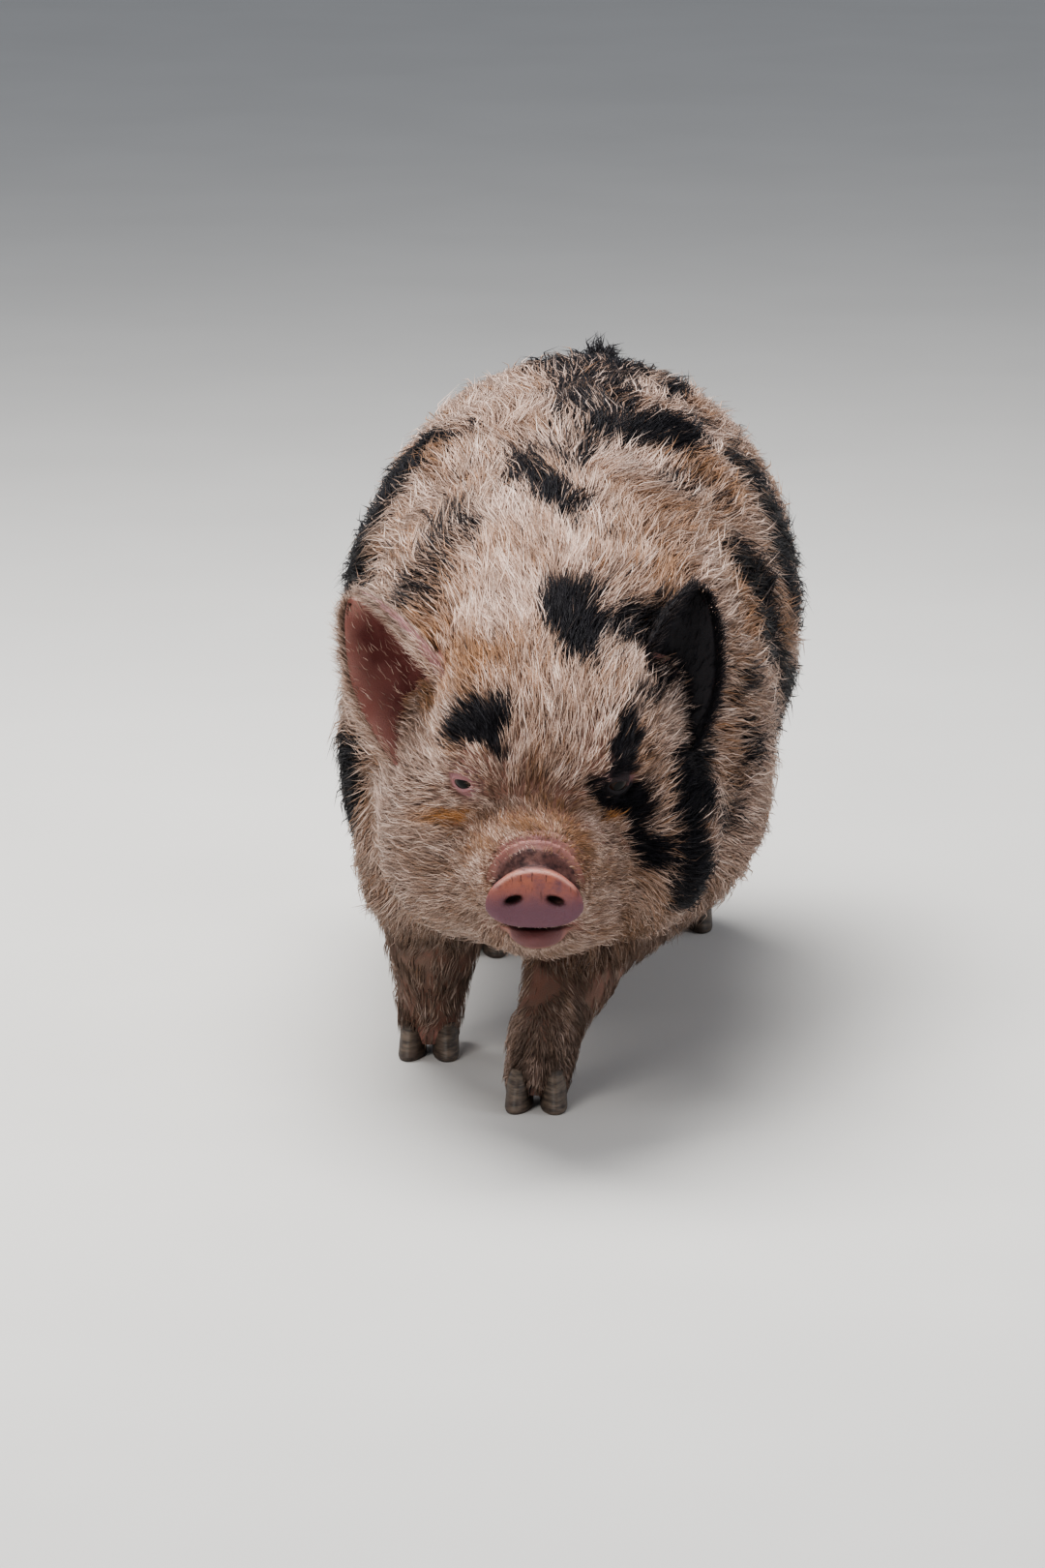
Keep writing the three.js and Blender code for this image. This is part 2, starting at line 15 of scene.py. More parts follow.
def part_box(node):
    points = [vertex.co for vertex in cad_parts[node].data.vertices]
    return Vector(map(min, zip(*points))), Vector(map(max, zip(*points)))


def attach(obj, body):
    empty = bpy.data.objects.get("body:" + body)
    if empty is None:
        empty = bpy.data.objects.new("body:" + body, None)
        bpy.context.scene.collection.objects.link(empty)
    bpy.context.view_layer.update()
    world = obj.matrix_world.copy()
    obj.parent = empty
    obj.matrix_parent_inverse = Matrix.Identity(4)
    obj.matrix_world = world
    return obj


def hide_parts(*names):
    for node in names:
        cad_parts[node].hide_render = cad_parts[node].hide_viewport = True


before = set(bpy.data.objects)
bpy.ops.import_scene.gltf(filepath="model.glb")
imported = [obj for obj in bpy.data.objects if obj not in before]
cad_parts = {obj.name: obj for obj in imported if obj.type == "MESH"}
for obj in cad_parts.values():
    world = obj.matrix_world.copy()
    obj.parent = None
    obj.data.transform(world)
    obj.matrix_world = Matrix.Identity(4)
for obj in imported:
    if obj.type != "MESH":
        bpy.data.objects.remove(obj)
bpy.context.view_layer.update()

# %% [markdown]
# ## The masses of flesh
# A pig's body is a few round masses that flow into one another. Sculpting would do, but a distance
# field repeats exactly: each mass is an ellipsoid, and a smooth union melts neighbours together. The
# numbers are millimetres, and nearly the ones that the solids were made from, so the skin lies inside
# their locks. Only the ears, the tail and the lower lip differ a little.

# %% Sizes of the animal
MM = 0.001
IMAGE_WIDTH = 1080
IMAGE_HEIGHT = 1620
HALF_LENGTH = 540
BACK_Z = 544
BELLY_Z = 138
HALF_WIDTH = 192
POLL_Z = 438
JOWL_HALF_WIDTH = 134
SNOUT_Z = 232
SNOUT_HALF_WIDTH = 41
SNOUT_HALF_HEIGHT = 24
NOSTRIL_X = 17
LEG_RADIUS = 27
HOOF_HEIGHT = 34
TOE_LENGTH = 52
TOE_WIDTH = 25
FEET = {
    "fore_left": (-10, -310),
    "fore_right": (-112, -140),
    "hind_left": (92, 342),
    "hind_right": (-92, 236),
}
BARREL_Z = (BACK_Z + BELLY_Z) / 2
BARREL_RZ = (BACK_Z - BELLY_Z) / 2
JOWL_R = 68
print("length", 2 * HALF_LENGTH * MM, "m")

# %% Masses: centre, radii, blend, and whether there is one each side
MASSES = [
    ((0, 60, BARREL_Z), (HALF_WIDTH, 330, BARREL_RZ), 30, False),
    ((0, 262, BACK_Z - 190), (HALF_WIDTH - 18, 200, 178), 60, False),
    ((0, -175, 332), (162, 160, 176), 50, False),
    ((96, -175, 262), (78, 96, 122), 40, True),
    ((92, 292, 282), (86, 128, 148), 40, True),
    ((0, -255, 335), (138, 110, 142), 50, False),
    ((0, -336, POLL_Z - 96), (92, 104, 92), 40, False),
    ((0, -390, 318), (78, 62, 60), 40, False),
    ((JOWL_HALF_WIDTH - JOWL_R, -332, 244), (JOWL_R, 92, 84), 40, True),
    ((0, -400, 210), (72, 88, 52), 30, False),
    ((0, -452, SNOUT_Z + 14), (58, 82, 46), 34, False),
    ((0, -478, SNOUT_Z - 2), (44, 56, 32), 18, False),
    ((40, -424, 322), (34, 26, 18), 24, True),
    ((0, -475, SNOUT_Z - 38), (24, 50.5, 13.2), 9, False),
]


def smooth_union(a, b, k):
    h = np.maximum(k - np.abs(a - b), 0) / k
    return np.minimum(a, b) - h * h * k / 4


def ellipsoid(x, y, z, centre, radii):
    x, y, z = x - centre[0], y - centre[1], z - centre[2]
    a, b, c = radii
    near = np.sqrt((x / a) ** 2 + (y / b) ** 2 + (z / c) ** 2)
    far = np.sqrt((x / a**2) ** 2 + (y / b**2) ** 2 + (z / c**2) ** 2)
    return near * (near - 1) / np.maximum(far, 1e-6)


print(len(MASSES), "masses")

# %% [markdown]
# ## Legs and tail
# A leg is a chain of tapered limbs between joints, and so is the tail. The left foreleg strides forward
# under the chin, as in the photograph, and the other feet stand where a walking pig would put them.


# %% Limbs between joints
def mix(a, b, t):
    return a + (b - a) * t


def soft_step(low, high, value):
    t = np.clip((value - low) / (high - low), 0, 1)
    return t * t * (3 - 2 * t)


def bell(value, half):
    return np.exp(-((value / half) ** 2))


def limb(x, y, z, start, end, r_start, r_end):
    way = np.subtract(end, start)
    dx, dy, dz = x - start[0], y - start[1], z - start[2]
    t = np.clip((dx * way[0] + dy * way[1] + dz * way[2]) / way.dot(way), 0, 1)
    away = np.sqrt((dx - t * way[0]) ** 2 + (dy - t * way[1]) ** 2 + (dz - t * way[2]) ** 2)
    return away - mix(r_start, r_end, t)


def fore_joints(x, y, side):
    return [
        ((side * 86, -186, 238), 64),
        ((mix(side * 94, x, 0.4), mix(-190, y, 0.15), 165), 55),
        ((mix(side * 92, x, 0.74), mix(-196, y, 0.52), 106), 36),
        ((mix(side * 92, x, 0.94), mix(-196, y, 0.86), 58), LEG_RADIUS - 1),
        ((x, y + 4, 22), LEG_RADIUS - 3),
    ]


def hind_joints(x, y, side):
    return [
        ((side * 98, 292, 250), 74),
        ((side * 100, mix(310, y, 0.3), 182), 50),
        ((mix(side * 98, x, 0.6), mix(360, y + 34, 0.7), 122), 32),
        ((mix(side * 96, x, 0.9), y + 16, 62), LEG_RADIUS - 1),
        ((x, y + 4, 22), LEG_RADIUS - 3),
    ]


def side_of(foot):
    return 1 if foot.endswith("left") else -1


LEGS = {
    foot: (fore_joints if foot.startswith("fore") else hind_joints)(x, y, side_of(foot))
    for foot, (x, y) in FEET.items()
}
TAIL = [
    ((0, 420, 466), 19),
    ((0, 456, 487), 17),
    ((2, 486, 499), 14),
    ((5, 512, 491), 12),
    ((10, 526, 468), 10),
    ((14, 528, 426), 7),
]

# %% [markdown]
# ## Snout, mouth and folds
# The snout ends in a flat disc with a rim, two nostrils and a furrow of folds above it. Small forms
# like these are sculpted by nudging the field: a smooth subtraction digs the nostrils, a narrow dip in
# the field draws the mouth, and a damped wave makes the folds.


# %% The snout's disc, nostrils and mouth line
RIM_ROUND = 4.5
DISH_DEPTH = 2.6
NOSTRIL_RADII = (7.0, 12, 3.1)
NOSTRIL_LEAN = 0.25


def disc_taper(up):
    return 1 - 0.17 * np.clip(up + 0.3, 0, 1)


def snout_disc(x, y, z):
    flare = np.interp(y, [-HALF_LENGTH, -535.5, -531, -527, -514, -500], [0.94, 1, 0.98, 0.86, 0.84, 0.82])
    up = (z - SNOUT_Z) / SNOUT_HALF_HEIGHT
    across = np.abs(x) / (SNOUT_HALF_WIDTH * disc_taper(up))
    power = np.where(up < 0, 2.5, 2.25)
    round_ = ((across**power + np.abs(up) ** power) ** (1 / power) - flare) * SNOUT_HALF_HEIGHT
    dish = DISH_DEPTH * np.exp(-((across / 0.75) ** 4) - (up / 0.72) ** 4)
    deep = np.abs(y + 520.5) - 19.5 + np.where(y < -520, dish, 0)
    round_, deep = round_ + RIM_ROUND, deep + RIM_ROUND
    outside = np.hypot(np.maximum(round_, 0), np.maximum(deep, 0))
    return outside + np.minimum(np.maximum(round_, deep), 0) - RIM_ROUND


def nostril(x, y, z):
    x = np.abs(x) - NOSTRIL_X
    lean = z - (SNOUT_Z - 1) + NOSTRIL_LEAN * x
    return ellipsoid(x, y, lean, (0, -HALF_LENGTH + 1, 0), NOSTRIL_RADII)


def mouth_height(x, y):
    return SNOUT_Z - 28.5 - 0.06 * (y + 530) - 0.0022 * x * x


def mouth_line(x, y, z, half):
    width = soft_step(-465, -490, y) * soft_step(34, 26, np.abs(x))
    return bell(z - mouth_height(x, y), half) * width


print("mouth at", round(mouth_height(0, -HALF_LENGTH)), "mm")


# %% The whole skin as one field, with its grooves and folds
MOUTH_DEPTH = 3.2
FURROW_Y = -527
FURROW_DEPTH = 3.4
FOLD_HEIGHT = 1.9
FOLD_WAVE = 6.5
CHEEK_FOLD_HEIGHT = 1.6
CHEEK_FOLD_WAVE = 17


def chain(x, y, z, joints, k):
    d = None
    for (start, r_start), (end, r_end) in zip(joints, joints[1:]):
        one = limb(x, y, z, start, end, r_start, r_end)
        d = one if d is None else smooth_union(d, one, k)
    return d


def skin_field(x, y, z):
    d = None
    for centre, radii, k, pair in MASSES:
        one = ellipsoid(np.abs(x) if pair else x, y, z, centre, radii)
        d = one if d is None else smooth_union(d, one, k)
    for joints in LEGS.values():
        d = smooth_union(d, chain(x, y, z, joints, 12), 26)
    d = smooth_union(d, chain(x, y, z, TAIL, 6), 16)
    d = smooth_union(d, snout_disc(x, y, z), 6)
    d = -smooth_union(-d, nostril(x, y, z), 4.5)
    d = d + FURROW_DEPTH * bell(y - FURROW_Y, 3.0) * soft_step(SNOUT_Z - 24, SNOUT_Z - 12, z)
    d = d + MOUTH_DEPTH * mouth_line(x, y, z, 1.25)
    over = bell(y + 516, 8) * np.clip((z - SNOUT_Z + 2) / 14, 0, 1)
    d = d + FOLD_HEIGHT * over * np.sin((y + 0.1 * z + 0.0022 * x * x) * 2 * math.pi / FOLD_WAVE)
    cheek = bell(y + 430, 26) * bell(z - 262, 24) * bell(np.abs(x) - 62, 26)
    return d + CHEEK_FOLD_HEIGHT * cheek * np.sin((y + 0.55 * z) * 2 * math.pi / CHEEK_FOLD_WAVE)


middle = np.array([[0.0], [60.0], [BARREL_Z]])
print("field at the barrel's middle", round(float(skin_field(*middle)[0])), "mm")

# %% [markdown]
# ## From field to skin
# Metaballs or a voxel remesh would make a surface with cells of one size. Surface nets, a few lines of
# numpy, can use a grid whose lines crowd together at the face: each cell that the surface crosses gets
# a vertex, each crossed grid edge a quad, and the vertices then slide on to the exact field.


# %% A grid that is finer at the face, and the net over it
def crowded(stops):
    lines = [stops[0][0]]
    for (start, _), (end, step) in zip(stops, stops[1:]):
        count = max(1, round((end - start) / step))
        lines.extend(mix(start, end, (i + 1) / count) for i in range(count))
    return np.array(lines, np.float32)


GRID_X = crowded([(-206, 0), (-80, 6), (-46, 3), (46, 1.9), (80, 3), (206, 6)])
GRID_Y = crowded([(-550, 0), (-490, 1.9), (-400, 3), (545, 6.2)])
GRID_Z = crowded([(10, 0), (170, 5.5), (196, 2.6), (262, 1.6), (350, 3), (566, 5.5)])


def surface_net(xs, ys, zs):
    d = np.stack([skin_field(x, *np.meshgrid(ys, zs, indexing="ij")) for x in xs])
    inside = d < 0
    corners = [tuple(slice(1, None) if s else slice(-1) for s in steps) for steps in np.ndindex(2, 2, 2)]
    total = sum(inside[corner].astype(np.int8) for corner in corners)
    cells = np.argwhere((total > 0) & (total < 8))
    index = np.full(total.shape, -1)
    index[tuple(cells.T)] = np.arange(len(cells))
    points = np.stack(
        [(lines[cells[:, a]] + lines[cells[:, a] + 1]) / 2 for a, lines in enumerate((xs, ys, zs))], 1
    )
    quads = []
    for a in range(3):
        b, c = (a + 1) % 3, (a + 2) % 3
        here = np.take(inside, range(inside.shape[a] - 1), a)
        there = np.take(inside, range(1, inside.shape[a]), a)
        for flip in (False, True):
            edges = np.argwhere(here & ~there if not flip else there & ~here)
            around = []
            for back_b, back_c in ((1, 1), (0, 1), (0, 0), (1, 0)):
                cell = edges.copy()
                cell[:, b] -= back_b
                cell[:, c] -= back_c
                around.append(index[tuple(cell.T)])
            quads.append(np.stack(around[::-1] if flip else around, 1))
    quads = np.concatenate(quads)
    return points.astype(float), quads[(quads >= 0).all(1)]


print("grid", len(GRID_X), "by", len(GRID_Y), "by", len(GRID_Z))

# %% The field's slope, and how points slide on to the skin
SLOPE_STEP = 0.5


def slope(p):
    parts = [skin_field(*(p + step).T) - skin_field(*(p - step).T) for step in np.eye(3) * SLOPE_STEP]
    return np.stack(parts, 1) / (2 * SLOPE_STEP)


def settle(p, rounds=3, most=6.0):
    for _ in range(rounds):
        g = slope(p)
        d = skin_field(*p.T)
        move = d / np.maximum((g * g).sum(1), 0.3)
        p = p - g * np.clip(move, -most, most)[:, None]
    return p


def unit(v):
    return v / np.maximum(np.linalg.norm(v, axis=-1, keepdims=True), 1e-9)


def outward(p):
    return unit(slope(p))


skin_points, skin_quads = surface_net(GRID_X, GRID_Y, GRID_Z)
skin_points = settle(skin_points, 5)
print("skin", len(skin_points), "points", len(skin_quads), "quads")

# %% [markdown]
# ## The camera
# The camera comes early, because the markings are placed by where the photograph shows them. It stands
# six metres in front of the pig, a little to one side and above, with a long lens, so that the nose
# falls on the same pixel as in the photograph.

# %% Camera at the photograph's angle
CAMERA_AZIMUTH = math.radians(3.2)
CAMERA_RISE = math.radians(12.5)
CAMERA_DISTANCE = 6.0
MM_PER_PIXEL = 0.78
NOSE_PIXEL = (552, 930)
NOSE = np.array([0, -HALF_LENGTH, SNOUT_Z]) * MM

camera_back = np.array(
    [
        math.sin(CAMERA_AZIMUTH) * math.cos(CAMERA_RISE),
        -math.cos(CAMERA_AZIMUTH) * math.cos(CAMERA_RISE),
        math.sin(CAMERA_RISE),
    ]
)
camera_right = unit(np.cross([0, 0, 1], camera_back))
camera_up = np.cross(camera_back, camera_right)
off_centre = (
    camera_right * (IMAGE_WIDTH / 2 - NOSE_PIXEL[0]) - camera_up * (IMAGE_HEIGHT / 2 - NOSE_PIXEL[1])
)
aim = NOSE + off_centre * MM_PER_PIXEL * MM
camera_place = aim + camera_back * CAMERA_DISTANCE
camera_data = bpy.data.cameras.new("camera")
camera_data.sensor_width = 36
camera_data.lens = 36 * CAMERA_DISTANCE / (IMAGE_HEIGHT * MM_PER_PIXEL * MM)
camera_data.clip_end = 60


def point_along(name, data, place, way):
    """A camera or a lamp at a place, looking along a way."""
    thing = bpy.data.objects.new(name, data)
    thing.location = place
    thing.rotation_mode = "QUATERNION"
    thing.rotation_quaternion = Vector(way).to_track_quat("-Z", "Y")
    bpy.context.scene.collection.objects.link(thing)
    return thing


bpy.context.scene.camera = point_along("camera", camera_data, camera_place, -camera_back)
print("lens", round(camera_data.lens, 1), "mm")


# %% Where a pixel of the photograph falls on the skin
SEARCH_STEPS = 160


def on_skin(pixel):
    across = (pixel[0] - IMAGE_WIDTH / 2) * MM_PER_PIXEL
    up = (IMAGE_HEIGHT / 2 - pixel[1]) * MM_PER_PIXEL
    through = aim / MM + camera_right * across + camera_up * up
    start = camera_place / MM
    way = unit(through - start)
    best = None
    travelled = CAMERA_DISTANCE / MM - 300
    for _ in range(SEARCH_STEPS):
        p = start + way * travelled
        d = float(skin_field(*p[:, None])[0])
        if best is None or d < best[0]:
            best = (d, p)
        if d < 0.5:
            break
        travelled += max(d * 0.7, 1.5)
    return settle(best[1][None], 4)[0]


print("nose falls at", on_skin(NOSE_PIXEL).round())

# %% [markdown]
# ## Markings
# This pig is cream and ginger with black patches. Each patch is a stroke between two pixels of the
# photograph with a half width in pixels, thrown on to the skin that it meets. Skin and coat both ask
# the same function how black a place is, so the markings run through both, and a gentle noise frays the
# edges. The flanks and rump, which the photograph hides, carry a few patches of the same kind.

# %% Strokes seen in the photograph: from x, y to x, y in pixels, half width, strength
STROKES = [
    (586, 634, 602, 664, 25, 1.0), (612, 652, 672, 664, 17, 0.75), (640, 640, 690, 640, 12, 0.75),
    (492, 752, 514, 736, 21, 1.0), (505, 765, 520, 775, 9, 0.8), (626, 814, 660, 836, 20, 1.0),
    (652, 832, 674, 884, 16, 1.0), (640, 795, 648, 742, 15, 0.95), (655, 728, 668, 712, 10, 0.6),
    (712, 790, 713, 900, 17, 1.0), (722, 830, 704, 925, 14, 0.9), (362, 770, 364, 840, 13, 0.95),
    (536, 490, 556, 502, 16, 0.85), (556, 502, 588, 532, 15, 0.85), (538, 478, 575, 478, 13, 0.5),
    (596, 478, 612, 452, 16, 0.5), (612, 444, 655, 452, 16, 0.8), (650, 448, 706, 458, 20, 0.9),
    (586, 422, 636, 414, 17, 0.62), (575, 400, 660, 392, 14, 0.62), (542, 372, 590, 384, 9, 0.75),
    (606, 376, 690, 384, 11, 0.75), (688, 404, 698, 412, 8, 0.8), (493, 445, 448, 460, 6, 0.85),
    (448, 460, 416, 494, 9, 0.95), (416, 494, 390, 534, 11, 1.0), (390, 534, 375, 580, 14, 1.0),
    (375, 580, 371, 614, 14, 0.9), (478, 545, 436, 612, 21, 0.5), (430, 620, 402, 632, 16, 0.42),
    (590, 560, 625, 556, 9, 0.4), (675, 500, 716, 518, 8, 0.45), (700, 490, 748, 530, 7, 0.35),
    (750, 470, 784, 520, 8, 0.9), (784, 520, 808, 582, 12, 1.0), (808, 582, 820, 640, 11, 1.0),
    (750, 562, 778, 614, 10, 0.8), (778, 614, 786, 650, 9, 0.8), (784, 655, 806, 700, 9, 0.75),
    (808, 700, 810, 770, 13, 1.0), (762, 680, 764, 712, 9, 0.5), (766, 745, 768, 785, 10, 0.85),
    (752, 800, 744, 850, 8, 0.5),
]
# Patches that the photograph hides: x, y, z of the centre and half width, in millimetres
HIDDEN_PATCHES = [
    (190, 240, 330, 58), (188, 95, 240, 42), (150, 390, 300, 46), (-192, 120, 290, 52),
    (-165, 330, 260, 48), (-60, 470, 400, 50), (60, 440, 500, 50), (0, 350, 530, 46),
    (110, 350, 150, 26), (130, -90, 150, 30),
]
print(len(STROKES), "strokes", len(HIDDEN_PATCHES), "hidden patches")


# %% How black a place is
def in_photo(p):
    """The pixel of the photograph where a point of the animal falls."""
    away = p * MM - camera_place
    depth = -(away @ camera_back)
    scale = CAMERA_DISTANCE / (MM_PER_PIXEL * MM) / depth
    across = IMAGE_WIDTH / 2 + (away @ camera_right) * scale
    down = IMAGE_HEIGHT / 2 - (away @ camera_up) * scale
    return np.stack([across, down], 1)


def waves(count, seed):
    own = np.random.default_rng(seed)
    return unit(own.normal(size=(count, 3))), own.uniform(0, 2 * math.pi, count)


def wobble(p, size, seed):
    ways, phases = waves(9, seed)
    return np.sin(p @ ways.T * (2 * math.pi / size) + phases).sum(1) / 3


def drift(p, size, seed):
    return np.stack([wobble(p, size, seed + axis) for axis in range(3)], 1)


def to_segment(p, start, end):
    way = end - start
    t = np.clip((p - start) @ way / max(way.dot(way), 1e-6), 0, 1)
    return np.linalg.norm(p - start - t[:, None] * way, axis=1)


strokes = []
for *ends, half, strength in STROKES:
    start, end = np.array(ends, float).reshape(2, 2)
    strokes.append((start, end, on_skin(start), on_skin(end), half, strength))
rng = np.random.default_rng(4)


def blackness(p, facing):
    moved = p + 5 * drift(p, 46, 1)
    moved = moved + 2.5 * drift(p, 15, 4)
    pixel = in_photo(moved)
    shown = soft_step(-0.12, 0.08, facing @ camera_back)
    black = np.zeros(len(p))
    for start, end, hit_start, hit_end, half, strength in strokes:
        away = to_segment(pixel, start, end) / half
        reach = 55 + 3.2 * half
        near = soft_step(1.25, 0.9, to_segment(p, hit_start, hit_end) / reach)
        black = np.maximum(black, strength * np.clip((1.35 - away) / 0.6, 0, 1) * near * shown)
    ragged = moved + 17 * drift(p, 80, 14)
    for *centre, half in HIDDEN_PATCHES:
        away = np.linalg.norm(ragged - centre, axis=1) / half
        black = np.maximum(black, np.clip((1.25 - away) / 0.4, 0, 1))
    x, y, z = p.T
    tail = np.clip((y - 430) / 20, 0, 1) * np.clip((z - 480 + 1.6 * (y - 470)) / 30, 0, 1)
    return np.maximum(black, tail)


brow = on_skin((500, 745))[None]
print("black at the brow", blackness(brow, outward(brow)).round(2))

# %% Where the photograph's coat is ginger: x, y in pixels, half width, strength
GINGER_SPOTS = [
    (478, 706, 42, 0.9), (530, 700, 30, 0.5), (562, 842, 34, 0.7), (575, 880, 30, 0.4),
    (518, 885, 24, 0.35), (596, 882, 22, 0.35), (470, 850, 30, 0.35), (610, 905, 40, 0.2),
    (640, 960, 34, 0.22), (445, 480, 34, 0.35), (420, 560, 34, 0.35), (480, 520, 30, 0.2),
    (700, 540, 44, 0.45), (665, 480, 30, 0.3), (726, 620, 34, 0.4), (770, 640, 26, 0.6),
    (745, 500, 26, 0.6), (560, 600, 26, 0.25), (790, 800, 30, 0.4), (690, 590, 30, 0.3),
]


def gingerness(p):
    pixel = in_photo(p + 9 * drift(p, 60, 7))
    warm = 0.16 + 0.26 * wobble(p, 120, 21) + 0.2 * wobble(p, 30, 22)
    for *centre, half, strength in GINGER_SPOTS:
        away = np.linalg.norm(pixel - centre, axis=1) / half
        warm = warm + strength * np.exp(-(away**2))
    return warm


print(len(GINGER_SPOTS), "ginger spots")

# %% [markdown]
# ## Ears
# Each ear is a cupped leaf that springs from the head, thick and fleshy at its root and thin at the
# rim. A grid of rings, front and back, is bent by one function of how far up and how far across it
# lies.

# %% Ears, cut from nearly the same leaf as the solids
EARS = {
    "left": {
        "base": (84, -352, 316), "tip": (122, -326, 450), "across": (0.86, 0.34, -0.36),
        "outer": 42, "inner": 54, "cup": 24,
    },
    "right": {
        "base": (-88, -352, 314), "tip": (-162, -322, 440), "across": (-0.8, 0.3, -0.52),
        "outer": 47, "inner": 68, "cup": 24,
    },
}
EAR_STEPS = 44
EAR_ACROSS = 30
EAR_SPREAD = 0.62
EAR_THICKNESS = 6.0
CURL_FROM = 0.3
CURL_TURN = 1.95
LOBE_FORWARD = 16


def ear_frame(ear):
    base, tip = np.array(ear["base"], float), np.array(ear["tip"], float)
    along = tip - base
    across = np.array(ear["across"], float)
    wide = unit(across - along * across.dot(along) / along.dot(along))
    facing = np.cross(wide, along / np.linalg.norm(along))
    if facing[1] > 0:
        facing = -facing
    return base, along, wide, facing


def leaf(ear, u, v, back):
    """A point of the ear: u runs from root to tip, v from the inner rim to the outer one."""
    base, along, wide, facing = ear_frame(ear)
    spread = np.sin(math.pi * np.minimum(1, np.where(v > 0, 0.2 + 0.8 * u, 0.3 + 0.7 * u))) ** EAR_SPREAD
    spread = spread * mix(0.94, 1, u)
    half = np.where(v > 0, ear["outer"], ear["inner"])
    flat = np.maximum(v, -CURL_FROM)
    turn = np.clip((-v - CURL_FROM) / (1 - CURL_FROM), 0, 1) * CURL_TURN
    radius = half * spread * (1 - CURL_FROM) / CURL_TURN
    lobe = np.clip(v, 0, 1) * (1 - np.clip(u / 0.55, 0, 1)) ** 1.4
    depth = ear["cup"] * (1 - flat * flat) * mix(1, 0.25, u) * mix(1, 0.6, np.clip(-v / CURL_FROM, 0, 1))
    forward = radius * (1 - np.cos(turn)) + LOBE_FORWARD * lobe - depth
    forward = forward + 1.4 * np.sin(u * 11 + 2 * v) * np.clip(v, 0, 1) ** 3
    sideways = flat * half * spread - radius * np.sin(turn)
    edge = np.maximum(np.abs(v), u) ** 3
    thick = EAR_THICKNESS * mix(1, 0.4, edge) * (1 + 1.6 * np.exp(-u / 0.1))
    ribs = 1.1 * np.sin(v * 9 + 2 * u) * (1 - u) * (1 - np.abs(v)) * np.where(back, 0, 1)
    off = np.where(back, -thick / 2, thick / 2) + ribs
    share = u * (1 - 0.12 * v * v * (1 - u)) - 0.1 * np.sin(math.pi * np.clip(v, 0, 1)) * (1 - u) ** 3
    forward = forward + off * np.cos(turn)
    sideways = sideways + off * np.sin(turn)
    return base + share[..., None] * along + sideways[..., None] * wide + forward[..., None] * facing


print("ears", list(EARS))


# %% The mesh of an ear, as rings from its root to its tip
def ring_quads(rows, n):
    """Quads between one ring of n points and the next."""
    i, j = np.meshgrid(np.arange(rows), np.arange(n), indexing="ij")
    a, b = (i * n + j).reshape(-1), (i * n + (j + 1) % n).reshape(-1)
    return np.stack([a, b, b + n, a + n], 1)


def facing_out(points, quads, away):
    """The quads, all turned over if together they look against away."""
    corner = points[quads]
    normal = np.cross(corner[:, 1] - corner[:, 0], corner[:, 2] - corner[:, 0])
    return quads if (normal * away).sum() >= 0 else quads[:, ::-1]


def ear_mesh(ear):
    u = np.linspace(0, 0.985, EAR_STEPS + 1)[:, None]
    v = np.linspace(-1, 1, EAR_ACROSS + 1)[None]
    uu, vv = np.broadcast_arrays(u, v)
    front = leaf(ear, uu, vv, np.zeros_like(uu, bool))
    rear = leaf(ear, uu, -vv, np.ones_like(uu, bool))
    rings = np.concatenate([front, rear], 1)
    n = rings.shape[1]
    last = EAR_STEPS * n
    cap = [[last + j, last + j + 1, last + n - 2 - j, last + n - 1 - j] for j in range(n // 2 - 1)]
    inside = np.concatenate([np.ones_like(uu), np.zeros_like(uu)], 1).reshape(-1)
    height = np.concatenate([uu, uu], 1).reshape(-1)
    rim = np.abs(np.concatenate([vv, -vv], 1)).reshape(-1)
    points = rings.reshape(-1, 3)
    quads = np.concatenate([ring_quads(EAR_STEPS, n), np.array(cap)])
    quads = facing_out(points, quads, points[quads].mean(1) - points.mean(0))
    return points, quads, inside, height, rim


ear_meshes = {name: ear_mesh(ear) for name, ear in EARS.items()}
print("ear", {name: len(made[1]) for name, made in ear_meshes.items()}, "quads")

# %% [markdown]
# ## Eyes and lids
# The eyes are small and set deep. The ball is a true sphere where the solids have it, and the lids are
# a surface of rings: from an almond opening on the ball, over a thick wet rim, through two creases, out
# to the skin of the face, where the last ring sinks in.

# %% Places of the eyes, from the solids, and the lids about them
EYE_RADIUS = 12.5
OPENING_HALF_WIDTH = 8.8
OPENING_UP = 6.2
OPENING_DOWN = 4.8
LID_SEGMENTS = 72
EYE_TURN = np.array([0, -0.25, 0])
LID_ROWS = [
    (0.86, 0.1, 0), (0.98, 0.4, 0), (1.04, 1.0, 0), (1.16, 1.6, 0), (1.34, 1.6, 0),
    (1.5, 0.7, 0.05), (1.62, 1.6, 0.15), (1.8, 1.8, 0.3), (2.0, 0.5, 0.5),
    (2.15, 1.6, 0.7), (2.4, 1.0, 0.9), (2.7, 0.3, 1), (3.0, -1.2, 1),
]


def eye_frame(name):
    low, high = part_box("eye_" + name)
    centre = np.array((low + high) / 2) / MM
    out = unit(outward(centre[None] + slope(centre[None]) * 9)[0] + EYE_TURN)
    level = unit(np.cross([0, 0, 1], out))
    if level[0] < 0:
        level = -level
    return centre, out, level, np.cross(out, level) * np.sign(np.cross(out, level)[2])


EYES = {name: eye_frame(name) for name in EARS}


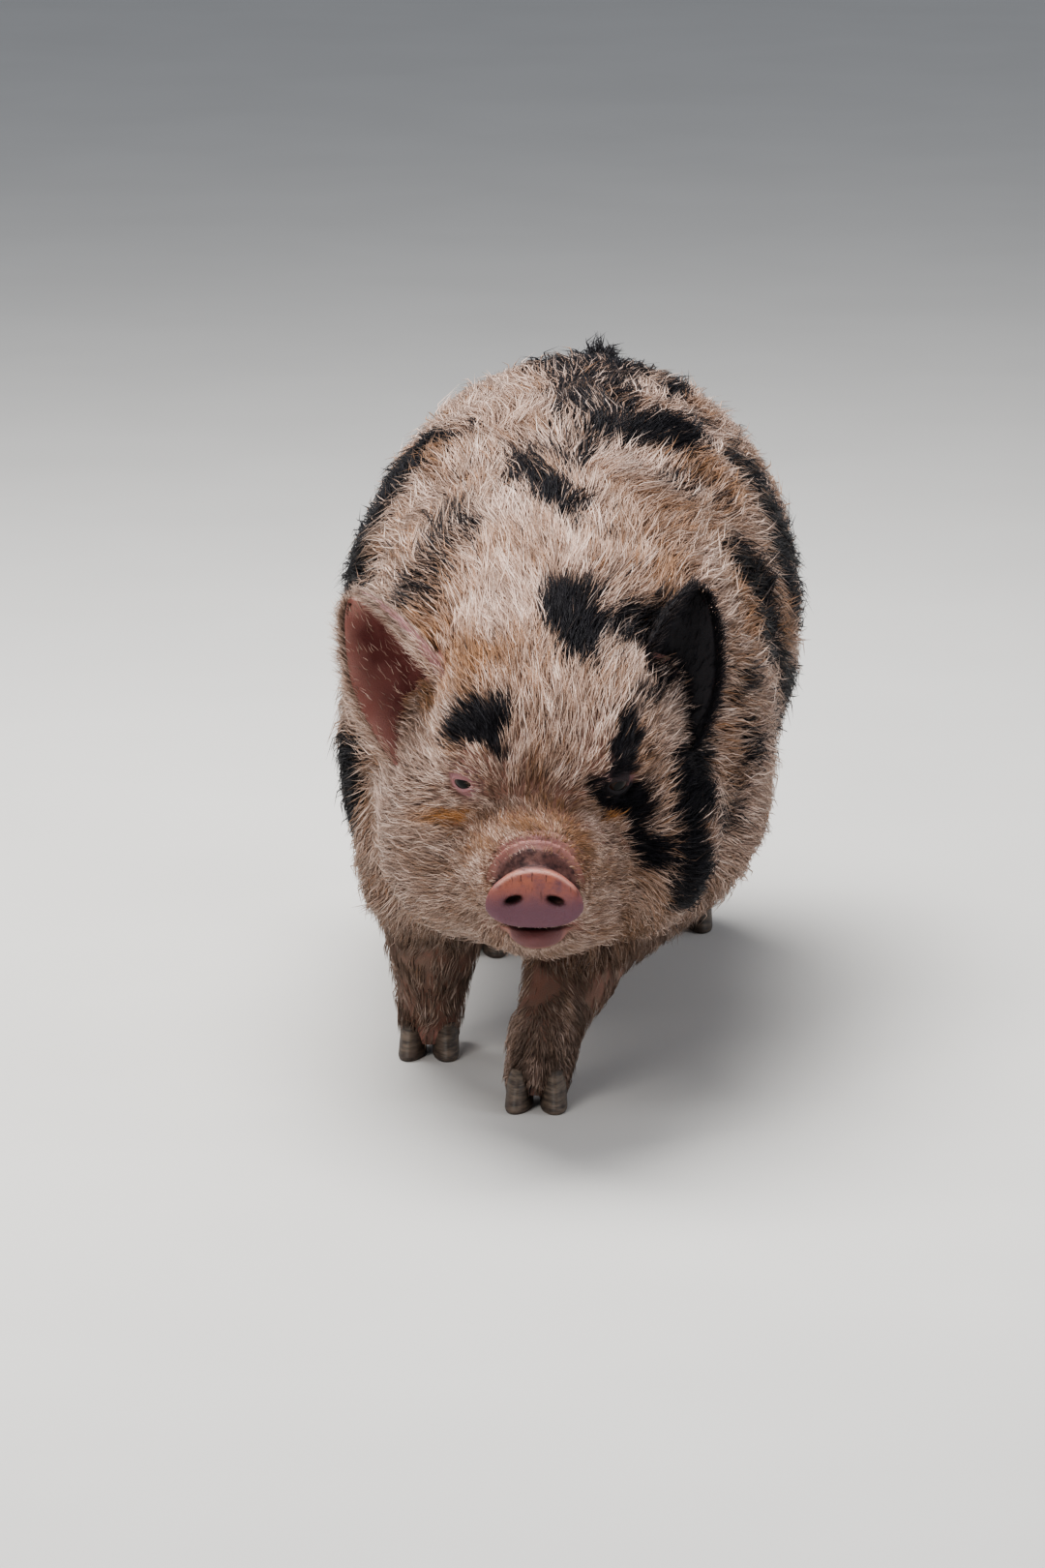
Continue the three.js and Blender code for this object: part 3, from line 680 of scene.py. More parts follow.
def lid_mesh(centre, out, level, up):
    """Rings about one eye. Each row gives a ring's size, its lift and how far it lies on the face."""
    angle = np.linspace(0, 2 * math.pi, LID_SEGMENTS, endpoint=False)
    rings = []
    for size, lift, flat in LID_ROWS:
        tall = np.where(np.sin(angle) > 0, OPENING_UP, OPENING_DOWN)
        corner = np.sign(np.cos(angle)) * np.abs(np.cos(angle)) ** 0.9
        x = corner * OPENING_HALF_WIDTH * (1 + (size - 1) * 0.62)
        y = np.sin(angle) * (tall * size + (size - 1) * 2.5)
        over_ball = np.sqrt(np.maximum((EYE_RADIUS + lift) ** 2 - x * x - y * y, 0))
        plane = centre + x[:, None] * level + y[:, None] * up
        on_ball = plane + over_ball[:, None] * out
        skin = settle(plane + 9 * out, 5)
        on_face = skin + lift * outward(skin)
        rings.append(mix(on_ball, on_face, flat))
    points = np.concatenate(rings)
    return points, facing_out(points, ring_quads(len(LID_ROWS) - 1, LID_SEGMENTS), out)


lid_meshes = [lid_mesh(*eye) for eye in EYES.values()]
print("eyes at", {name: tuple(eye[0].round()) for name, eye in EYES.items()})

# %% [markdown]
# ## Meshes with their facts
# Every mesh here is made from arrays. A mesh can carry named values at its points, such as how black or
# how wet a place is, and a material reads them by name. That keeps skin and coat in step.


# %% A mesh object from arrays, with named values at its points
def build(name, points, faces, values):
    mesh = bpy.data.meshes.new(name)
    mesh.vertices.add(len(points))
    mesh.vertices.foreach_set("co", (points * MM).astype(np.float32).reshape(-1))
    mesh.loops.add(faces.size)
    mesh.loops.foreach_set("vertex_index", faces.astype(np.int32).reshape(-1))
    mesh.polygons.add(len(faces))
    mesh.polygons.foreach_set("loop_start", np.arange(0, faces.size, faces.shape[1], dtype=np.int32))
    mesh.update(calc_edges=True)
    mesh.polygons.foreach_set("use_smooth", np.ones(len(faces), bool))
    for key, value in values.items():
        layer = mesh.attributes.new(key, "FLOAT", "POINT")
        layer.data.foreach_set("value", value.astype(np.float32))
    piece = bpy.data.objects.new(name, mesh)
    bpy.context.scene.collection.objects.link(piece)
    return piece


print("meshes are built from arrays")


# %% Where the skin is bare
def search_tree(points):
    tree = kdtree.KDTree(len(points))
    for i, point in enumerate(points):
        tree.insert(point, i)
    tree.balance()
    return tree


ear_tree = search_tree(np.concatenate([made[0] for made in ear_meshes.values()]))


def from_ear(p):
    return np.array([ear_tree.find(point)[2] for point in p])


def from_eye(p):
    return np.min([np.linalg.norm(p - eye[0], axis=1) for eye in EYES.values()], axis=0)


def bare(p):
    """How bare a place is: the snout, lips, eyes, ears and soles carry no hair of the body."""
    x, y, z = p.T
    none = soft_step(-522, -525, y)
    over = soft_step(-509, -516, y) * soft_step(38, 24, np.abs(x)) + soft_step(-516, -520, y)
    none = np.maximum(none, np.minimum(over, 1) * soft_step(SNOUT_Z + 5, SNOUT_Z + 15, z) * 0.88)
    none = np.maximum(none, mouth_line(x, y, z, 4))
    lip = (z < SNOUT_Z - 24) & (z > SNOUT_Z - 46)
    none = np.maximum(none, soft_step(-490, -502, y) * lip)
    for centre, out, level, up in EYES.values():
        away = np.hypot((p - centre) @ level / 14, ((p - centre) @ up + 4) / 11)
        none = np.maximum(none, soft_step(1.15, 0.95, away) * ((p - centre) @ out > -8))
    none = np.maximum(none, soft_step(8, 4, from_ear(p)))
    return np.maximum(none, soft_step(30, 22, z))


print("bare share of the skin", round(float(bare(skin_points).mean()), 3))

# %% The skin's own facts: black, snout, wet and stained places, mud and painted shade low down, painted shade in mouth, nostrils, crease and under the coat, a painted highlight on the rim
TEAR_STAINS = [((474, 843), (20, 7)), ((628, 844), (12, 7))]


def skin_facts(p):
    x, y, z = p.T
    snout = soft_step(-532, -536, y) * (z > SNOUT_Z - 27)
    from_hole = np.abs(x) - NOSTRIL_X
    hole = (from_hole / 7.6) ** 2 + ((z - SNOUT_Z + 1 + NOSTRIL_LEAN * from_hole) / 4.0) ** 2
    up = (z - SNOUT_Z) / SNOUT_HALF_HEIGHT
    edge = np.hypot(np.abs(x) / (SNOUT_HALF_WIDTH * disc_taper(up)), up)
    pixel = in_photo(p)
    out = outward(p)
    shown = (out @ camera_back > 0) & (y < -300)
    stain = np.zeros(len(p))
    for centre, half in TEAR_STAINS:
        away = (pixel - centre) / half
        stain = np.maximum(stain, np.exp(-((away**2).sum(1))) * shown)
    lip = soft_step(-492, -506, y) * (z < SNOUT_Z - 26) * soft_step(SNOUT_Z - 48, SNOUT_Z - 43, z)
    roll = 0.7 * bell(y + 514, 5) * bell(x, 24) * soft_step(SNOUT_Z + 2, SNOUT_Z + 16, z)
    return {
        "black": blackness(p, out) * (1 - snout),
        "snout": snout,
        # Painted shade in the mouth line, the gap under the disc
        "mouth": mouth_line(x, y, z, 1.3) * (1 - snout),
        # Painted shade inside the nostrils
        "nostril": soft_step(-523, -528, y) * np.exp(-(hole**1.5)),
        # Painted highlight along the upper edge of the disc's rim
        "rim": bell(edge - 0.97, 0.04) * soft_step(0.2, 0.6, up) * (y < -532),
        # Painted shade in the crease behind the disc's rim, under the folds
        "fold": soft_step(-516.5, -522, y) * soft_step(SNOUT_Z - 14, SNOUT_Z + 2, z),
        "lip": lip,
        "stain": stain,
        # Darker towards the ground: mud, and painted shade under the body
        "dirt": soft_step(210, 90, z),
        "ear": np.zeros(len(p)),
        # Where hair grows; the skin there also gets painted shade under the coat
        "coat": 1 - bare(p),
        "lid": np.maximum(soft_step(24, 12, from_eye(p)), roll),
    }


print("a place has these facts:", list(skin_facts(skin_points[:2])))

# %% Skin, ears and lids as one mesh
sheets = [(skin_points, skin_quads, skin_facts(skin_points))]
for name, (points, quads, inside, height, rim) in ear_meshes.items():
    ear_facts = dict.fromkeys(sheets[0][2], np.zeros(len(points)))
    ear_facts["black"] = np.full(len(points), 1.0 if name == "left" else 0.0)
    # Inside of the ear: red flesh with painted shade, less towards the rim and the tip
    ear_facts["ear"] = inside * (1 - 0.6 * rim**3) * soft_step(1.02, 0.8, height)
    ear_facts["lid"] = (1 - inside) * 0.9
    sheets.append((points, quads, ear_facts))
sheets += [(points, quads, skin_facts(points)) for points, quads in lid_meshes]
starts = np.cumsum([0] + [len(points) for points, _, _ in sheets])
skin = build(
    "skin", np.concatenate([points for points, _, _ in sheets]),
    np.concatenate([quads + start for (_, quads, _), start in zip(sheets, starts)]),
    {key: np.concatenate([facts[key] for _, _, facts in sheets]) for key in sheets[0][2]},
)
FLESH = ["head", "neck", "torso", "snout", "tail", "ear_left", "ear_right"]
FLESH += ["leg_" + foot for foot in FEET]
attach(skin, "root")
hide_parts(*FLESH)
print("skin, ears and lids:", len(skin.data.polygons), "quads")

# %% [markdown]
# ## Shader sums
# A material is a network of nodes. Written as plain sums it is easier to read: this class wraps a
# socket, so that 1 - mask or colour * 0.8 adds the node that does it. Values go through Math nodes,
# colours and vectors through Vector Math and Mix, and every node comes from one method.


# %% Sockets that do sums
class Flow:
    def __init__(self, finish, socket):
        self.finish, self.socket = finish, socket

    def sum(self, operation, first, second):
        wide = any(isinstance(v, Flow) and v.socket.type in ("RGBA", "VECTOR") for v in (first, second))
        kind = "ShaderNodeVectorMath" if wide else "ShaderNodeMath"
        return self.finish.node(kind, {"operation": operation}, {0: first, 1: second})

    def __add__(self, other):
        return self.sum("ADD", self, other)

    def __radd__(self, other):
        return self.sum("ADD", other, self)

    def __sub__(self, other):
        return self.sum("SUBTRACT", self, other)

    def __rsub__(self, other):
        return self.sum("SUBTRACT", other, self)

    def __mul__(self, other):
        return self.sum("MULTIPLY", self, other)

    def __rmul__(self, other):
        return self.sum("MULTIPLY", other, self)

    def between(self, low, high):
        return self.finish.node(
            "ShaderNodeMapRange", {"interpolation_type": "SMOOTHSTEP"},
            {"Value": self, "From Min": low, "From Max": high},
        )


print("sockets can do sums")


# %% The method that adds any other node, and the ones that this animal needs
class Finish:
    def __init__(self, name, **constants):
        self.material = bpy.data.materials.new(name)
        self.material.use_nodes = True
        self.tree = self.material.node_tree
        self.shader = self.tree.nodes["Principled BSDF"]
        for key, value in constants.items():
            self.shader.inputs[key.replace("_", " ").title().replace("Ior", "IOR")].default_value = value

    def plug(self, socket, value):
        if isinstance(value, Flow):
            self.tree.links.new(value.socket, socket)
        elif hasattr(socket.default_value, "__len__") and not hasattr(value, "__len__"):
            socket.default_value = (value,) * len(socket.default_value)
        elif hasattr(value, "__len__") and len(value) == 3 and len(socket.default_value) == 4:
            socket.default_value = (*value, 1)
        else:
            socket.default_value = value

    def node(self, kind, settings=None, sockets=None, out=0):
        made = self.tree.nodes.new(kind)
        for key, value in (settings or {}).items():
            setattr(made, key, value)
        for key, value in (sockets or {}).items():
            self.plug(made.inputs[key], value)
        return Flow(self, made.outputs[out])

    def value(self, name):
        return self.node("ShaderNodeAttribute", {"attribute_name": name}, out="Fac")

    def place(self, stretch=(1, 1, 1)):
        return self.node("ShaderNodeTexCoord", out="Object") * stretch

    def noise(self, scale, detail=3, roughness=0.55, stretch=(1, 1, 1)):
        sockets = {"Vector": self.place(stretch), "Scale": scale, "Detail": detail, "Roughness": roughness}
        return self.node("ShaderNodeTexNoise", None, sockets)

    def cells(self, scale):
        settings = {"feature": "DISTANCE_TO_EDGE"}
        return self.node("ShaderNodeTexVoronoi", settings, {"Vector": self.place(), "Scale": scale})

    def blend(self, first, second, share):
        sockets = {"Factor": share, 6: first, 7: second}
        return self.node("ShaderNodeMix", {"data_type": "RGBA"}, sockets, out=2)

    def bump(self, height, distance):
        return self.node("ShaderNodeBump", None, {"Height": height, "Strength": 0.5, "Distance": distance})

    def feed(self, **inputs):
        for key, value in inputs.items():
            self.plug(self.shader.inputs[key.replace("_", " ").title()], value)
        return self.material


print("finishes can be written")

# %% [markdown]
# ## Skin
# A pig's skin is pink, and slate grey where the patches are black; under the coat it is painted dark, as
# shade beneath the hair. The snout is a moist mauve disc, warmer above, with fine upright cracks, a
# painted highlight along the top of its rim and painted shade in the nostrils, the mouth line and the
# crease behind the rim. The insides of the ears are flushed with blood and darkened with painted shade
# in the cup, and low down mud is painted together with the shade under the body. Light enters the skin
# a little way, so a small constant subsurface weight softens it.

# %% The skin's finish
PINK = (0.46, 0.24, 0.20)
PINK_DEEP = (0.30, 0.12, 0.10)
SLATE = (0.010, 0.008, 0.010)
SNOUT_WARM = (0.34, 0.115, 0.075)
SNOUT_MAUVE = (0.135, 0.062, 0.080)
# Painted highlight on the top of the disc's rim
SNOUT_RIM_HIGHLIGHT = (0.56, 0.31, 0.26)
LIP = (0.145, 0.062, 0.062)
# Painted shade in the crease behind the snout's rim
FOLD_SHADE = (0.034, 0.013, 0.014)
# Dark of the snout's cracks and blotches, also used as painted shade in the mouth line
CRACK_AND_MOUTH_SHADE = (0.05, 0.018, 0.018)
# Painted shade deep in the nostrils
NOSTRIL_SHADE = (0.012, 0.006, 0.006)
# Blood-red flesh of the ear's inside, darkened as painted shade in the cup
EAR_FLUSH_AND_SHADE = (0.066, 0.010, 0.008)
STAIN = (0.50, 0.215, 0.045)
# Painted shade on the skin under the hair
UNDERCOAT_SHADE = (0.17, 0.088, 0.062)
LID = (0.27, 0.135, 0.15)
# Mud, also used as painted shade low on the body and legs
MUD_AND_SHADE = (0.13, 0.09, 0.07)

flesh = Finish(
    "living_skin", roughness=0.5, specular_ior_level=0.3, subsurface_weight=0.12, subsurface_scale=0.006
)
patchy = flesh.noise(38, 4)
tone = flesh.blend(PINK, PINK_DEEP, patchy.between(0.35, 0.75))
# Painted shade where the skin lies under the coat
tone = flesh.blend(tone, UNDERCOAT_SHADE, flesh.value("coat") * 0.85)
# Mud patches low down, which also paint the shade under the body
muddy = flesh.noise(60, 4, 0.6, (1, 1, 0.3)).between(0.35, 0.65)
tone = flesh.blend(tone, MUD_AND_SHADE, flesh.value("dirt") * muddy * 0.8)
tone = flesh.blend(tone, STAIN, flesh.value("stain") * 0.75)
tone = flesh.blend(tone, LID, flesh.value("lid") * 0.85)
# The ear's red inside, with painted shade in its cup
tone = flesh.blend(tone, EAR_FLUSH_AND_SHADE, flesh.value("ear") * (1.35 - patchy * 0.75))
tone = flesh.blend(tone, LIP, flesh.value("lip"))
# Painted shade in the crease behind the rim, unevenly strong
crease_shade_strength = 0.62 + flesh.noise(150, 4).between(0.3, 0.7) * 0.38
tone = flesh.blend(tone, FOLD_SHADE, flesh.value("fold") * crease_shade_strength)
tone = flesh.blend(tone, SLATE, flesh.value("black"))
upper = flesh.node("ShaderNodeSeparateXYZ", None, {0: flesh.place()}, out="Z").between(0.222, 0.25)
disc = flesh.blend(SNOUT_MAUVE, SNOUT_WARM, upper * flesh.noise(90, 3).between(0.2, 0.6))
disc = flesh.blend(disc, CRACK_AND_MOUTH_SHADE, upper * flesh.noise(170, 3).between(0.5, 0.75) * 0.4)
cracks = flesh.noise(330, 2, 0.5, (1, 1, 0.1)).between(0.60, 0.66)
cracks = cracks * flesh.noise(70, 2).between(0.42, 0.55)
disc = flesh.blend(disc, CRACK_AND_MOUTH_SHADE, cracks * upper * 0.9)
# Painted highlight along the top of the rim
disc = flesh.blend(disc, SNOUT_RIM_HIGHLIGHT, flesh.value("rim") * 0.8)
tone = flesh.blend(tone, disc, flesh.value("snout"))
# Painted shade along the mouth line
tone = flesh.blend(tone, CRACK_AND_MOUTH_SHADE, flesh.value("mouth") * 0.85)
# Painted shade inside the nostrils
tone = flesh.blend(tone, NOSTRIL_SHADE, flesh.value("nostril"))
pores = flesh.noise(700, 3) * 0.5 + flesh.cells(520) * 1.4 - cracks * flesh.value("snout") * 0.8
flesh.feed(
    base_color=tone,
    roughness=0.62 - flesh.value("snout") * 0.24 + flesh.noise(300, 2) * 0.1,
    normal=flesh.bump(pores, 0.0008),
)
skin.data.materials.append(flesh.material)
print("skin finish with", len(flesh.tree.nodes), "nodes")

# %% [markdown]
# ## The coat's finish
# Hairs are bleached at the tip and painted dark towards the root, as shade deep in the coat, and no two
# tufts are quite alike. The tufts carry a share along their length, a tone of their own and how black
# they are, and the finish mixes cream, ginger and black from those three. Low down the hair takes mud
# and painted shade from under the body.

# %% Cream, ginger and black hair
CREAM = (0.66, 0.47, 0.38)
GINGER = (0.36, 0.195, 0.105)
PALE_TIP = (0.94, 0.80, 0.73)
# Painted shade deep in the coat, near the roots
HAIR_ROOT_SHADE = (0.085, 0.042, 0.03)
BLACK_HAIR = (0.004, 0.003, 0.005)
BLACK_TIP = (0.013, 0.012, 0.018)

coat = Finish("bristly_coat", roughness=0.6, specular_ior_level=0.22)
along = coat.value("along")
own = coat.value("own")
hair = coat.blend(GINGER, CREAM, coat.value("pale"))
hair = hair * (0.38 + own * 0.95)
hair = coat.blend(hair, PALE_TIP, along * own.between(0.35, 1.0) * coat.value("pale").between(0.1, 0.8))
# Hair painted dark towards its root, as shade deep in the coat
hair = coat.blend(HAIR_ROOT_SHADE, hair, along.between(-0.05, 0.6))
hair = coat.blend(hair, STAIN, coat.value("stain") * 0.85)
# Low hair: mud streaks, and painted shade under the body
streaks = coat.noise(45, 4, 0.6, (1, 1, 0.35)).between(0.3, 0.62)
hair = coat.blend(hair, MUD_AND_SHADE, coat.value("dirt") * (0.35 + streaks * 0.55))
dark = coat.blend(BLACK_HAIR, BLACK_TIP, along * own)
hair = coat.blend(hair, dark, coat.value("black"))
coat.feed(base_color=hair, roughness=0.62 - own * 0.18)
print("coat finish with", len(coat.tree.nodes), "nodes")

# %% [markdown]
# ## Where each tuft grows
# Roots are scattered over the skin by area, thicker where the coat is fine. Each root then knows which
# way its hair lies: away from the snout over the face, back along the trunk and a little down its
# sides, and down the legs. Length, width and how far the tips stand off come from where the root is.

# %% Scattering roots over the skin's triangles
skin_triangles = np.concatenate([skin_quads[:, [0, 1, 2]], skin_quads[:, [0, 2, 3]]])
corner = skin_points[skin_triangles]
areas = np.linalg.norm(np.cross(corner[:, 1] - corner[:, 0], corner[:, 2] - corner[:, 0]), axis=1) / 2
middles = corner.mean(1)
SNOUT_TIP = np.array([0, -HALF_LENGTH, SNOUT_Z + 16.0])
open_to_hair = 1 - bare(middles)
print("skin area", round(areas.sum() * 1e-6, 2), "square metres")


def scatter(count, keep):
    weight = areas * keep(middles) * open_to_hair
    chosen = rng.choice(len(weight), count, p=weight / weight.sum())
    a, b = rng.random((2, count))
    over = a + b > 1
    a[over], b[over] = 1 - a[over], 1 - b[over]
    c = corner[chosen]
    return settle(c[:, 0] + a[:, None] * (c[:, 1] - c[:, 0]) + b[:, None] * (c[:, 2] - c[:, 0]), 1)


def lie_of(p, out):
    x, y, z = p.T
    face = unit(p - SNOUT_TIP) * [1.25, 1, 1]
    trunk = np.stack([0.1 * np.sign(x), np.ones_like(x), -0.32 - 0.25 * (z < 250)], 1)
    lie = mix(face, trunk, soft_step(-400, -240, y)[:, None])
    leg = soft_step(175, 130, z)[:, None]
    lie = mix(lie, np.array([0, 0.25, -1.0]), leg)
    lie = lie + 0.30 * drift(p, 90, 11)
    lie = lie + rng.normal(0, 0.12, p.shape)
    return unit(lie - out * (lie * out).sum(1, keepdims=True))


FACE_DISTANCES = [30, 60, 110, 160, 220, 290, 420, 900, 1100]
HAIR_LENGTHS = [9, 13, 25, 38, 46, 54, 60, 58, 50]
HAIR_WIDTHS = [0.5, 0.55, 0.66, 0.8, 0.95, 1.1, 1.2, 1.25, 1.25]
TIP_HEIGHTS = [1.6, 2.6, 5, 7.5, 9.5, 11, 12, 12, 11]
print("hair from", min(HAIR_LENGTHS), "to", max(HAIR_LENGTHS), "mm")

# %% [markdown]
# ## Growing tufts
# A tuft is a three-sided spike of nine triangles: a root ring sunk in the skin, a ring half way and a
# tip. Its middle and tip are laid back on the skin's own field, so it hugs the body. Neighbours lean
# together towards a leader, which gives the coat its locks. The coat's second map of the surface puts
# each tuft at its root's place, so a baked finish keeps its colours apart.


# %% An unwrap of the skin's own shape, for the coat
def unwrap(p):
    x, y, z = p.T
    axis = np.interp(y, [-512, -430, -350, -150, 60, 462], [230, 256, 292, 326, 338, 380])
    turn = (np.arctan2(x, -(z - axis)) / (2 * math.pi)) % 1
    radius = np.hypot(x, z - axis)
    run = y - 0.8 * np.maximum(130 - radius, 0) * soft_step(-250, -330, y)
    run = run + 0.8 * np.maximum(170 - radius, 0) * soft_step(330, 400, y)
    u, v = 0.02 + 0.96 * turn, 0.32 + 0.66 * (run + 660) / 1340
    low = z < 150
    for i, (fx, fy) in enumerate(FEET.values()):
        near = low & (np.hypot(x - fx, y - fy) < 130)
        leg_turn = (np.arctan2(x - fx, y - fy) / (2 * math.pi)) % 1
        u = np.where(near, 0.02 + 0.12 * i + 0.1 * leg_turn, u)
        v = np.where(near, 0.02 + 0.26 * z / 150, v)
    return np.stack([u, v], 1)


def unwrap_ear(name, u, v, back):
    left = 0.52 + (0.24 if name == "right" else 0) + np.where(back, 0.12, 0)
    return np.stack([left + 0.1 * (v + 1) / 2, 0.02 + 0.26 * u], 1)


print("the snout's tip is unwrapped at", unwrap(SNOUT_TIP[None]).round(2))

# %% Where a tuft's middle and tip lie, and which neighbour it leans to
STRAY_LENGTH = 0.45
TUFTS_PER_LOCK = 16
LOCK_REACH = 26


def laid_back(root, out, half, tip, length):
    """Middle and tip on the body, or kept short where they would stray, and the ways out there."""
    laid_half, laid_tip = settle(half, 2, 12), settle(tip, 3, 14)
    moved = np.linalg.norm(laid_tip - tip, axis=1) + np.linalg.norm(laid_half - half, axis=1)
    follows = ((moved < 0.55 * length) & ((outward(laid_tip) * out).sum(1) > 0.1))[:, None]
    half = np.where(follows, laid_half, mix(root, half, STRAY_LENGTH))
    tip = np.where(follows, laid_tip, mix(root, tip, STRAY_LENGTH))
    return half, tip, np.where(follows, outward(half), out), np.where(follows, outward(tip), out)


def leader_of(root, out):
    """The tuft that each one leans to, and whether it is near enough for that."""
    leaders = rng.permutation(len(root))[: max(1, len(root) // TUFTS_PER_LOCK)]
    tree = search_tree(root[leaders])
    nearest = leaders[np.array([tree.find(p)[1] for p in root])]
    near = np.linalg.norm(root[nearest] - root, axis=1) < LOCK_REACH
    return nearest, near & ((out * out[nearest]).sum(1) > 0.7)


print("locks of", TUFTS_PER_LOCK, "tufts")

# %% Tufts as one mesh
PATCH = 0.003
ROOT_DEPTH = 2.0
TUFT_FACES = np.array(
    [[0, 1, 4], [0, 4, 3], [1, 2, 5], [1, 5, 4], [2, 0, 3], [2, 3, 5], [3, 4, 6], [4, 5, 6], [5, 3, 6]]
)
TUFT_ALONG = [0, 0, 0, 0.5, 0.5, 0.5, 1.0]
TUFT_SPOTS = np.array([[0, 0], [1, 0], [0.5, 0.2], [0, 0.5], [1, 0.5], [0.5, 0.6], [0.5, 1]]) - 0.5


def grow(name, root, out, way, length, width, height, facts, uv, pull, hug=True):
    count = len(root)
    side = unit(np.cross(way, out))
    half, tip = root + way * length[:, None] * 0.5, root + way * length[:, None]
    half_out = tip_out = out
    if hug:
        half, tip, half_out, tip_out = laid_back(root, out, half, tip, length)
    half = half + half_out * (height * rng.uniform(0.45, 0.8, count))[:, None]
    half = half + side * (rng.normal(0, 0.07, count) * length)[:, None]
    tip = tip + tip_out * height[:, None] + side * (rng.normal(0, 0.12, count) * length)[:, None]
    nearest, together = leader_of(root, out)
    share = (pull * rng.uniform(0.5, 1.3, count) * together)[:, None]
    tip = mix(tip, tip[nearest], share)
    half = mix(half, half[nearest], share * 0.45)
    rings = []
    for centre, normal, size, sink in ((root, out, 1.0, -ROOT_DEPTH), (half, half_out, 0.85, 0)):
        w = (width * size / 2)[:, None]
        centre = centre + normal * sink
        rings += [centre + side * w, centre - side * w, centre + normal * w * 1.1]
    points = np.stack([*rings, tip], 1).reshape(-1, 3)
    points[:, 2] = np.maximum(points[:, 2], 0.6)
    points_each = len(TUFT_ALONG)
    faces = (np.arange(count)[:, None, None] * points_each + TUFT_FACES).reshape(-1, 3)
    if np.linalg.det(np.stack([side[0], way[0], out[0]])) > 0:
        faces = faces[:, ::-1]
    facts = {"stain": np.zeros(count), "dirt": np.zeros(count), **facts}
    facts["own"] = mix(facts["own"], facts["own"][nearest], 0.4)
    values = {key: np.repeat(value, points_each) for key, value in facts.items()}
    values["along"] = np.tile(TUFT_ALONG, count)
    piece = build(name, points, faces, values)
    layer = piece.data.uv_layers.new(name="OFBake")
    at = (uv[:, None] + TUFT_SPOTS * PATCH).reshape(-1, 2)
    layer.data.foreach_set("uv", at[faces.reshape(-1)].astype(np.float32).reshape(-1))
    piece.data.materials.append(coat.material)
    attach(piece, "root")
    print(name, count, "tufts", len(piece.data.polygons), "triangles")


print("a tuft has", len(TUFT_FACES), "triangles")


# %% The coat, zone by zone
ZONES = {
    "coat_muzzle": (16000, lambda p: (p[:, 1] <= -430) * (1 + 1.6 * soft_step(-480, -505, p[:, 1]))),
    "coat_face": (21000, lambda p: (p[:, 1] > -430) & (p[:, 1] < -368)),
    "coat_cheeks": (21000, lambda p: (p[:, 1] >= -368) & (p[:, 1] < -300)),
    "coat_neck": (20000, lambda p: (p[:, 1] >= -300) & (p[:, 1] < -210) & (p[:, 2] > 120)),
    "coat_shoulders": (19000, lambda p: (p[:, 1] >= -210) & (p[:, 1] < -60) & (p[:, 2] > 150)),
    "coat_flanks": (19000, lambda p: (p[:, 1] >= -60) & (p[:, 1] < 150) & (p[:, 2] > 120)),
    "coat_hips": (17000, lambda p: (p[:, 1] >= 150) & (p[:, 1] < 345) & (p[:, 2] > 130)),
    "coat_rump": (12500, lambda p: (p[:, 1] >= 345) & (p[:, 2] > 130)),
    "coat_legs": (10000, lambda p: (p[:, 2] <= 170) & (p[:, 1] > -340)),
}
WILD_SHARE = 0.12
for name, (count, keep) in ZONES.items():
    root = scatter(count, keep)
    out = outward(root)
    x, y, z = root.T
    far = np.linalg.norm(root - SNOUT_TIP, axis=1)
    own = rng.random(count)
    length = np.interp(far, FACE_DISTANCES, HAIR_LENGTHS) * rng.uniform(0.7, 1.25, count)
    width = np.interp(far, FACE_DISTANCES, HAIR_WIDTHS) * rng.uniform(0.75, 1.2, count)
    height = np.interp(far, FACE_DISTANCES, TIP_HEIGHTS) * rng.uniform(0.3, 1.25, count)
    wild = rng.random(count) < WILD_SHARE
    height = height * np.where(wild, 1.6, 1)
    length = length * np.where(wild, 1.15, 1)
    length = length * mix(0.34, 1, soft_step(20, 52, from_eye(root)))
    by_ear = from_ear(root)
    length = length * mix(0.28, 1, soft_step(5, 46, by_ear))
    low = soft_step(190, 120, z)
    length = length * mix(1, 0.42, low)
    height = height * mix(1, 0.35, low)
    way = lie_of(root, out)
    grown = skin_facts(root)
    black = blackness(root + way * length[:, None] * 0.5, out)
    black = np.maximum(black, 0.62 * soft_step(30, 14, by_ear) * (x > 0) * (y > -372))
    values = {
        "black": soft_step(0.3, 0.62, black + rng.normal(0, 0.2, count)),
        "own": own,
        "pale": np.clip(1 - gingerness(root) + rng.normal(0, 0.24, count), 0, 1),
        "stain": grown["stain"],
        "dirt": grown["dirt"],
    }
    pull = 0.3 if name in ("coat_muzzle", "coat_face") else 0.55
    grow(name, root, out, way, length, width, height, values, unwrap(root), pull=pull)

# %% [markdown]
# ## Hair of the ears and tail
# The backs and rims of the ears carry short hair, and pale hairs stand in from the front rims. The tail
# ends in a black switch.


